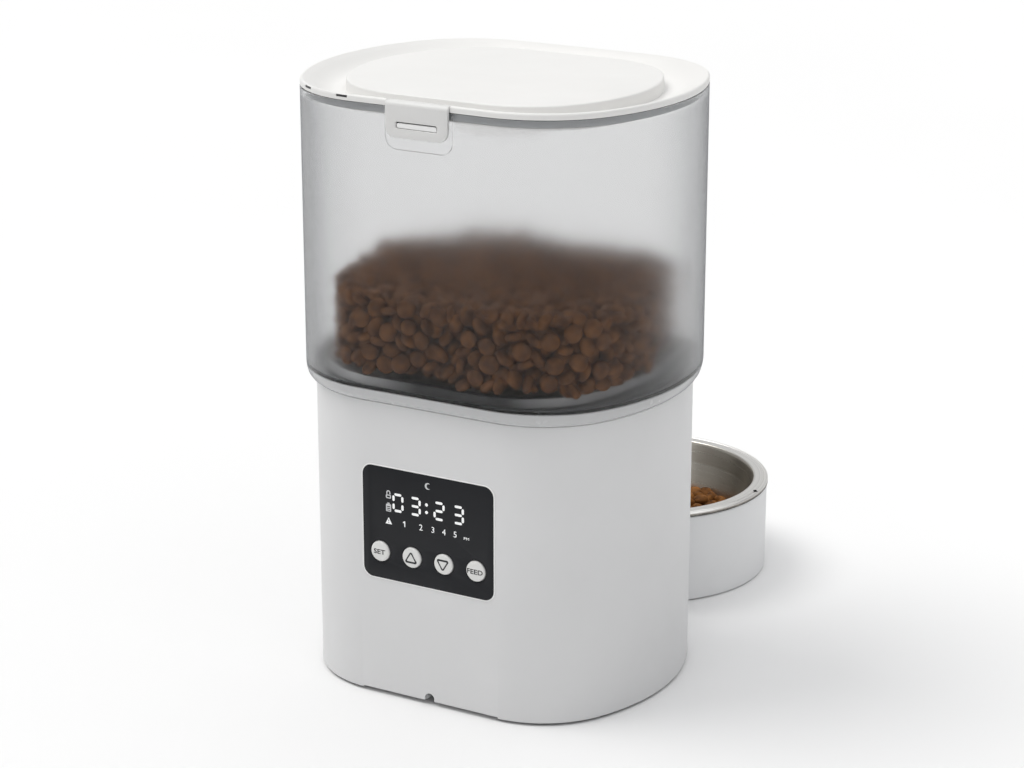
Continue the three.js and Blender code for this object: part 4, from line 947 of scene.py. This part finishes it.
# ------------------------------------------------------------------ bowl and holder
bowl_prof = fillet([
    (0, 9.0, 0), (45.0, 9.0, 6), (52.6, 13.0, 8), (61.2, 41.0, 10), (63.4, 51.4, 0.6), (70.0, 51.4, 0.2), (70.0, 50.2, 0.2), (71.0, 50.2, 0.35), (71.0, 52.0, 0.5), (70.3, 52.6, 0.3),
    (69.4, 52.6, 0.2), (69.1, 52.25, 0.2), (68.7, 52.25, 0.2), (68.4, 52.6, 0.2), (62.9, 52.6, 0.55), (62.3, 51.2, 0.8), (60.0, 41.2, 12), (51.6, 13.8, 8), (44.6, 10.2, 6), (0, 10.2, 0),
], 6)
bowl = lathe("bowl_dish", bowl_prof, MAT["steel"], (0, BOWL_Y), 160, 40)
place(bowl, "bowl", "steel_bowl", slot="bowl_steel")
# A dark ring on the bowl's rolled edge: painted shade for the dark gap line under the flange.
edge = lathe("bowl_edge_painted_shade", [(70.5, 50.25), (71.0, 50.25), (71.0, 51.3), (70.5, 51.3)], MAT["dark"], (0, BOWL_Y), 160, 40)
place(edge, "bowl")
# A black patch on the flange: painted shade for the depth of a small slot.
dot = block("flange_slot_painted_shade", -1.4, 1.4, -0.9, 0.9, 51.6, 52.72, MAT["void"])
dot.data.transform(Matrix.Translation((0, -SY, 0)))
dot.data.transform(Matrix.Translation((-68.9 * MM, -162.7 * MM + SY, 0)) @ Matrix.Rotation(math.radians(-48), 4, "Z"))
place(dot, "bowl")
cup_prof = fillet([
    (0, 2.4, 0), (66.0, 2.4, 0.3), (66.0, 0, 0.2), (68.6, 0, 0.2), (68.6, 0.85, 0), (70.2, 0.85, 0.15), (70.4, 1.2, 0.2), (70.4, 49.9, 0.5), (67.8, 49.9, 0.5), (67.8, 4.8, 1.5), (0, 4.8, 0),
], 5)
cup = lathe("bowl_cup", cup_prof, MAT["cup"], (0, BOWL_Y), 160, 40)
tongue = block("t1", -22.0, 22.0, -94.0, -66.0, 5.0, 9.2, NONE)
boolean(tongue, [prism_z("c14", circle(69.0, 0, BOWL_Y, 160), 0, 20, NONE)])
boolean(cup, [tongue], "UNION")
cup.data.materials.clear()
cup.data.materials.append(MAT["cup"])
for p in cup.data.polygons:
    p.material_index = 0
finish_mesh(cup, 34)
place(cup, "holder", "bowl_holder", slot="body_plastic")

# ------------------------------------------------------------------ solids with their edges broken
refined("outlet_nozzle", "base", MAT["body"], 0.5, 35)
refined("food_chute", "base", MAT["inner"], 0.3, 35)
refined("bottom_cover", "base", MAT["body"], 0.25, 45)
refined("battery_door", "door", MAT["body"], 0.3, 45)

CARRIED = {
    "inner": ["base_deck", "drive_plate"],
    # lid liner and drying cap: faint painted glow
    "pale": ["lid_liner", "desiccant_cap"],
    "dark": ["outlet_guard", "battery_tray", "gearbox_base", "gearbox_cover", "power_socket"],
    "silicone": ["agitator"],
    "rubber": ["foot_1", "foot_2", "foot_3", "foot_4"],
    "wheel": ["dispensing_rotor", "output_gear", "idler_gear"],
    "board": ["control_board", "main_board"],
    "lamp": ["led_module", "ir_emitter", "ir_receiver"],
    "cell": ["battery_1", "battery_2", "battery_3"],
    "paper": ["desiccant_bag"],
    "zinc": ["cover_screw_1", "cover_screw_2", "cover_screw_3", "cover_screw_4", "hopper_screw_1", "hopper_screw_2", "hopper_screw_3", "hopper_screw_4", "latch_pin", "idler_axle", "feed_motor", "battery_contacts_left", "battery_contacts_right"],
    "brass": ["shaft_bush", "motor_pinion"],
}
for k, names in CARRIED.items():
    for nm in names:
        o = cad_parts[nm]
        o.data.materials.clear()
        o.data.materials.append(MAT[k])

# ------------------------------------------------------------------ dry food
RNG = np.random.default_rng(11)


def lens(nseg=14, nring=4, R=4.85, H=2.3):
    """One food piece: a thick lens, as vertices and faces."""
    v, f = [], []
    zs = []
    for s in range(-nring, nring + 1):
        a = s / nring * math.pi / 2
        r = R * max(0.0, math.cos(a)) ** 0.55
        z = H * math.copysign(abs(math.sin(a)) ** 0.9, a)
        zs.append((r, z))
    v.append((0, 0, -H))
    for r, z in zs[1:-1]:
        for i in range(nseg):
            t = 2 * math.pi * i / nseg
            v.append((r * math.cos(t), r * math.sin(t), z))
    v.append((0, 0, H))
    rows = len(zs) - 2
    for i in range(nseg):
        j = (i + 1) % nseg
        f.append((0, 1 + j, 1 + i))
        last = 1 + (rows - 1) * nseg
        f.append((len(v) - 1, last + i, last + j))
    for k in range(rows - 1):
        a, b = 1 + k * nseg, 1 + (k + 1) * nseg
        for i in range(nseg):
            j = (i + 1) % nseg
            f.append((a + i, a + j, b + j, b + i))
    return np.array(v), f


def axis_frames(axes, rng):
    """A rotation for each piece whose own Z runs along axes, with a random turn about it."""
    axes = axes / np.linalg.norm(axes, axis=1)[:, None]
    q = rng.normal(size=axes.shape)
    a = np.cross(axes, q)
    a /= np.linalg.norm(a, axis=1)[:, None]
    return np.stack([a, np.cross(axes, a), axes], 2)


def pack_layer(uv, axis_uv, axis_n, keep, R=4.85, H=2.3):
    """Picks pieces one by one so that their outlines in a plane overlap little. uv: places in the plane. axis_uv, axis_n: the piece's axis in the plane and across it. Returns the indices kept."""
    tilt = np.linalg.norm(axis_uv, axis=1)
    minor = np.sqrt((R * axis_n) ** 2 + (H * tilt) ** 2)
    heading = np.arctan2(axis_uv[:, 1], axis_uv[:, 0])
    got = []
    g_uv, g_minor, g_head = np.zeros((len(uv), 2)), np.zeros(len(uv)), np.zeros(len(uv))
    for i in range(len(uv)):
        n = len(got)
        if n:
            d = g_uv[:n] - uv[i]
            dist = np.hypot(d[:, 0], d[:, 1])
            near = dist < 2 * R
            if near.any():
                d, dist = d[near], dist[near]
                phi = np.arctan2(d[:, 1], d[:, 0])
                r1 = R * minor[i] / np.sqrt((R * np.cos(phi - heading[i])) ** 2 + (minor[i] * np.sin(phi - heading[i])) ** 2)
                mn, hd = g_minor[:n][near], g_head[:n][near]
                r2 = R * mn / np.sqrt((R * np.cos(phi - hd)) ** 2 + (mn * np.sin(phi - hd)) ** 2)
                if (dist < keep * (r1 + r2)).any():
                    continue
        g_uv[n], g_minor[n], g_head[n] = uv[i], minor[i], heading[i]
        got.append(i)
    return np.array(got)


def half_extent(c, R=4.85, H=2.3):
    """Half the size of a piece along a direction at cosine c to its axis."""
    return np.sqrt(R * R * (1 - c * c) + H * H * c * c)


def scatter(name, centres, rots, body, sizes, mat="food"):
    v0, f0 = lens()
    n, m = len(centres), len(v0)
    wob = 1 + 0.05 * RNG.normal(size=(n, 1, 3))
    pts = np.einsum("nij,nmj->nmi", rots, v0[None] * sizes[:, None, None] * wob) + centres[:, None, :]
    pts = pts.reshape(-1, 3) * MM
    pts[:, 1] += SY
    quads = np.array([f for f in f0 if len(f) == 4])
    tris = np.array([f for f in f0 if len(f) == 3])
    base_i = (np.arange(n) * m)[:, None, None]
    q_all = (quads[None] + base_i).reshape(-1, 4)
    t_all = (tris[None] + base_i).reshape(-1, 3)
    me = bpy.data.meshes.new(name)
    me.vertices.add(len(pts))
    me.vertices.foreach_set("co", pts.astype(np.float32).ravel())
    loops = np.concatenate([q_all.ravel(), t_all.ravel()])
    starts = np.concatenate([np.arange(len(q_all)) * 4, len(q_all) * 4 + np.arange(len(t_all)) * 3])
    me.loops.add(len(loops))
    me.loops.foreach_set("vertex_index", loops.astype(np.int32))
    me.polygons.add(len(starts))
    me.polygons.foreach_set("loop_start", starts.astype(np.int32))
    me.polygons.foreach_set("use_smooth", np.ones(len(starts), bool))
    me.update(calc_edges=True)
    me.validate()
    me.materials.append(MAT[mat])
    o = bpy.data.objects.new(name, me)
    scene.collection.objects.link(o)
    return place(o, body)


def inside_outline(p, A, B, flat, r1):
    """Signed distance to the rounded plan outline, positive inside (approximate)."""
    x, y = np.abs(p[:, 0]), np.abs(p[:, 1])
    u = A - flat
    r2 = (u * u + B * B - 2 * B * r1) / (2 * (u - r1))
    c2 = A - r2
    ang = math.atan2(B - r1, flat - c2)
    a = np.arctan2(y, x - c2)
    d_end = r2 - np.hypot(x - c2, y)
    d_cor = r1 - np.hypot(x - flat, y - (B - r1))
    d_flat = B - y
    return np.where(x < flat, d_flat, np.where(a < ang, d_end, d_cor))


def heap_top(x, y):
    """Height of the food in the hopper, mm."""
    return 211.2 + 0.03 * y + 6.5 * np.exp(-(((x - 80) / 20) ** 2 + ((y + 8) / 26) ** 2)) + 3.2 * np.exp(-(((x - 62) / 26) ** 2 + ((y - 8) / 34) ** 2)) + 4.2 * np.exp(-(((x - 33) / 20) ** 2 + ((y + 50) / 28) ** 2)) + 1.0 * np.sin(x / 19.0 + 1.0) * np.cos(y / 23.0)


PILE = (78.0, 80.0, 31.0, 43.0)  # outline of the heap: half length, half depth, half flat, corner arc


def bulge(p):
    """How much closer to the wall the heap reaches at one corner, mm."""
    def ease(v, a, b):
        t = np.clip((v - a) / (b - a), 0, 1)
        return t * t * (3 - 2 * t)

    return 13.3 * ease(-p[:, 0], 30.0, 77.0) * ease(p[:, 1], -32.0, 22.0)


def inside_heap(p):
    q = p.copy()
    for _ in range(6):
        q[:, 0] = p[:, 0] + bulge(q)
    return inside_outline(q, *PILE)


def tilted(n, rng, flat_share, spread):
    """Tilts from the layer's normal: most pieces lie close to it, the others stand on edge."""
    flat = rng.random(n) < flat_share
    return np.where(flat, np.abs(rng.normal(scale=spread, size=n)), rng.uniform(0.9, 1.57, size=n))


def wall_layer(depth, tries, keep, flat_share):
    """Pieces that lie against the inside of the heap's outline, depth deep."""
    A, B, fl, r1 = PILE
    ring = outline(A, B, fl, r1, 60, 60, 40)
    ring[:, 0] -= bulge(ring)
    ring = np.vstack([ring, ring[:1]])
    seg = np.hypot(*np.diff(ring, axis=0).T)
    arc = np.concatenate([[0], np.cumsum(seg)])
    s = RNG.uniform(0, arc[-1], tries)
    px, py = np.interp(s, arc, ring[:, 0]), np.interp(s, arc, ring[:, 1])
    k = np.clip(np.searchsorted(arc, s) - 1, 0, len(seg) - 1)
    t = np.diff(ring, axis=0)[k] / seg[k][:, None]
    tangent = np.column_stack([t, np.zeros(tries)])
    normal = np.column_stack([t[:, 1], -t[:, 0], np.zeros(tries)])
    outward = np.sign((normal[:, :2] * np.column_stack([px, py])).sum(1))
    normal *= outward[:, None]
    tilt = tilted(tries, RNG, flat_share, 0.38)
    turn = RNG.uniform(0, 2 * math.pi, tries)
    axis = normal * np.cos(tilt)[:, None] + (tangent * np.cos(turn)[:, None] + np.array([0, 0, 1.0]) * np.sin(turn)[:, None]) * np.sin(tilt)[:, None]
    back = half_extent(np.abs((axis * normal).sum(1))) + 0.25 + depth
    place_ = np.column_stack([px, py, np.zeros(tries)]) - normal * back[:, None]
    top = heap_top(place_[:, 0], place_[:, 1]) - half_extent(np.abs(axis[:, 2])) * 0.8
    low = 170.9 + half_extent(np.abs(axis[:, 2]))
    z = low + (top - low) * RNG.random(tries)
    place_[:, 2] = z
    uv = np.column_stack([s, z])
    axis_uv = np.column_stack([(axis * tangent).sum(1), axis[:, 2]])
    got = pack_layer(uv, axis_uv, np.abs((axis * normal).sum(1)), keep)
    return place_[got], axis[got]


def top_layer(depth, tries, keep, flat_share, margin, top, inside):
    """Pieces that lie on top of the heap, depth deep."""
    x, y = RNG.uniform(-90, 90, tries), RNG.uniform(-90, 90, tries)
    p = np.column_stack([x, y, np.zeros(tries)])
    p = p[inside(p) > margin]
    n = len(p)
    tilt = tilted(n, RNG, flat_share, 0.42)
    turn = RNG.uniform(0, 2 * math.pi, n)
    axis = np.column_stack([np.sin(tilt) * np.cos(turn), np.sin(tilt) * np.sin(turn), np.cos(tilt)])
    p[:, 2] = top(p[:, 0], p[:, 1]) - half_extent(np.abs(axis[:, 2])) - depth
    got = pack_layer(p[:, :2], axis[:, :2], axis[:, 2], keep)
    return p[got], axis[got]


def fill_hopper():
    inside = inside_heap
    layers = [wall_layer(0.0, 14000, 0.92, 0.62), wall_layer(4.2, 9000, 0.9, 0.5), wall_layer(8.8, 7000, 0.9, 0.5),
              top_layer(0.0, 12000, 0.92, 0.6, 4.5, heap_top, inside), top_layer(4.0, 8000, 0.9, 0.5, 13.0, heap_top, inside)]
    p, a = np.vstack([c for c, _ in layers]), np.vstack([a for _, a in layers])
    p[:, 0] *= np.where(p[:, 0] > 0, 0.962, 1.0)
    return p, a


hop, hop_axes = fill_hopper()
hop_frames = axis_frames(hop_axes, RNG)
hop_sizes = 1 + 0.05 * np.clip(RNG.normal(size=len(hop)), -2, 1)
half = len(hop) // 2
scatter("food_in_hopper", hop[:half], hop_frames[:half], "tank", hop_sizes[:half])
scatter("food_in_hopper_2", hop[half:], hop_frames[half:], "tank", hop_sizes[half:])


def core_mesh():
    """The unseen middle of the heap, so that no light passes through it."""
    A, B, fl, r1 = 65.5, 67.5, 28.0, 35.0
    rings = []
    for s, dz in ((0.02, -8), (0.5, -8), (0.8, -8.5), (0.95, -10), (1.0, -13)):
        o = outline(A, B, fl, r1) * s
        rings.append((o, None, dz))
    verts_rings = []
    for o, _, dz in rings:
        z = heap_top(o[:, 0], o[:, 1]) + dz
        verts_rings.append(np.column_stack([o, z]))
    o = outline(A, B, fl, r1)
    verts_rings.append(np.column_stack([o, np.full(len(o), 179.0)]))
    verts_rings.append(np.column_stack([ring_round(54.0, o), np.full(len(o), 164.0)]))
    verts_rings.append(np.column_stack([ring_round(20.0, o), np.full(len(o), 182.0)]))
    verts_rings.append(np.column_stack([ring_round(0.2, o), np.full(len(o), 184.0)]))
    n = len(verts_rings[0])
    v, f = [], []
    for r in verts_rings:
        for x, y, z in r:
            v.append((x * MM, y * MM + SY, z * MM))
    for k in range(len(verts_rings) - 1):
        for i in range(n):
            j = (i + 1) % n
            f.append((k * n + i, k * n + j, (k + 1) * n + j, (k + 1) * n + i))
    f.append(tuple(range(n)))
    f.append(tuple((len(verts_rings) - 1) * n + i for i in reversed(range(n))))
    o = link("food_core", v, f, MAT["food"])
    return place(o, "tank")


core_mesh()


def bowl_top(x, y):
    return 34.8 - 7.6 * (np.hypot(x + 14, y + 10) / 50.0) ** 2


def fill_bowl():
    inside = lambda p: np.interp(bowl_top(p[:, 0], p[:, 1]), [10, 14, 26, 41], [46, 50.5, 55, 59]) - np.hypot(p[:, 0], p[:, 1])
    layers = [top_layer(0.0, 6000, 0.9, 0.6, 4.6, bowl_top, inside), top_layer(3.8, 5000, 0.9, 0.5, 5.2, bowl_top, inside), top_layer(7.8, 5000, 0.9, 0.5, 6.4, bowl_top, inside)]
    p, a = np.vstack([c for c, _ in layers]), np.vstack([a for _, a in layers])
    ok = p[:, 2] > 10.4 + half_extent(np.abs(a[:, 2]))
    p, a = p[ok], a[ok]
    p[:, 1] += BOWL_Y
    return p, a


bw, bw_axes = fill_bowl()
scatter("food_in_bowl", bw, axis_frames(bw_axes, RNG), "bowl", 0.98 + 0.05 * np.clip(RNG.normal(size=len(bw)), -2, 1), "bowl_food")


def bowl_core():
    """The unseen middle of the food in the bowl, so that no steel shows between the pieces."""
    t = np.linspace(0, 2 * math.pi, 48, endpoint=False)
    c, d = np.cos(t), np.sin(t)
    rows = [(r, bowl_top(r * c, r * d) - 6.2) for r in (0.3, 16.0, 30.0, 40.0, 45.5)] + [(46.0, np.full(48, 11.4)), (0.3, np.full(48, 11.2))]
    v = [(x * r * MM, (y * r + BOWL_Y) * MM + SY, z * MM) for r, zz in rows for x, y, z in zip(c, d, zz)]
    f = [(k * 48 + i, k * 48 + (i + 1) % 48, (k + 1) * 48 + (i + 1) % 48, (k + 1) * 48 + i) for k in range(len(rows) - 1) for i in range(48)]
    f += [tuple(reversed(range(48))), tuple((len(rows) - 1) * 48 + i for i in range(48))]
    return place(link("food_core_bowl", v, [tuple(reversed(q)) for q in f], MAT["bowl_food"]), "bowl")


bowl_core()

# ------------------------------------------------------------------ floor, light
fm, fnt, fb, _ = new_material("floor_paper")
fv = coords(fnt)
fnt.links.new(mix_color(fnt, ramp(fnt, noise(fnt, fv, 1.2, 2.0), 0, 1), (0.87, 0.87, 0.873), (0.885, 0.885, 0.887)), fb.inputs["Base Color"])
fb.inputs["Roughness"].default_value = 0.9
fb.inputs["Specular IOR Level"].default_value = 0.1
bpy.ops.mesh.primitive_plane_add(size=24, location=(0, 0, 0))
floor = bpy.context.object
floor.name = "floor"
floor.data.materials.append(fm)

# The room: dim on the side of the main view, bright behind the object like a white backdrop; seen directly it is a plain pale grey.
world = bpy.data.worlds.new("studio")
world.use_nodes = True
wt = world.node_tree
background = wt.nodes["Background"]
background.inputs[0].default_value = (1.0, 1.0, 1.0, 1)
wc = wt.nodes.new("ShaderNodeTexCoord")
dot = wt.nodes.new("ShaderNodeVectorMath")
dot.operation = "DOT_PRODUCT"
wt.links.new(wc.outputs["Generated"], dot.inputs[0])
dot.inputs[1].default_value = (0.4975, -0.8675, 0.0)
wsep = wt.nodes.new("ShaderNodeSeparateXYZ")
wt.links.new(wc.outputs["Generated"], wsep.inputs["Vector"])


def soft_step(value, a, b_):
    n = wt.nodes.new("ShaderNodeMapRange")
    n.interpolation_type = "SMOOTHSTEP"
    n.inputs["From Min"].default_value = a
    n.inputs["From Max"].default_value = b_
    wt.links.new(value, n.inputs["Value"])
    return n.outputs["Result"]


def world_math(op, x, y):
    n = wt.nodes.new("ShaderNodeMath")
    n.operation = op
    for sock, v in ((n.inputs[0], x), (n.inputs[1], y)):
        if isinstance(v, bpy.types.NodeSocket):
            wt.links.new(v, sock)
        else:
            sock.default_value = v
    return n.outputs[0]


low = world_math("SUBTRACT", 1.0, soft_step(wsep.outputs["Z"], 0.25, 0.7))
backdrop = world_math("MULTIPLY", low, soft_step(dot.outputs["Value"], 0.0, 0.85))
level = world_math("ADD", 0.16, world_math("MULTIPLY", backdrop, 0.60))
seen = wt.nodes.new("ShaderNodeLightPath")
wmix = wt.nodes.new("ShaderNodeMix")
wmix.data_type = "FLOAT"
wt.links.new(seen.outputs["Is Camera Ray"], wmix.inputs[0])
wt.links.new(level, wmix.inputs[2])
wmix.inputs[3].default_value = 0.985
wt.links.new(wmix.outputs[0], background.inputs[1])
scene.world = world


def sun(name, towards, strength, angle, color=(1, 1, 1)):
    """A broad soft light from the direction of towards; strength is the brightness it gives a white surface that faces it."""
    l = bpy.data.lights.new(name, "SUN")
    l.energy = strength * math.pi
    l.angle = math.radians(angle)
    l.color = color
    o = bpy.data.objects.new(name, l)
    scene.collection.objects.link(o)
    o.rotation_mode = "QUATERNION"
    o.rotation_quaternion = (-Vector(towards)).to_track_quat("-Z", "Y")
    return o


# a broad light overhead and a softer key from the left of the main view
sun("overhead", (-0.05, 0.1, 1.0), 0.65, 92, (0.99, 0.995, 1.0))
sun("key", (0.80, 0.34, 1.50), 0.32, 33, (1.0, 0.985, 0.96))
sun("fill", (1.0, 0.0, 0.35), 0.05, 90, (1.0, 0.985, 0.96))
sun("far_fill", (-0.9, 0.45, 0.1), 0.04, 60, (0.985, 0.99, 1.0))

scene.view_settings.view_transform = "Standard"
scene.view_settings.look = "None"
scene.view_settings.exposure = 0.0
scene.view_settings.gamma = 1.0
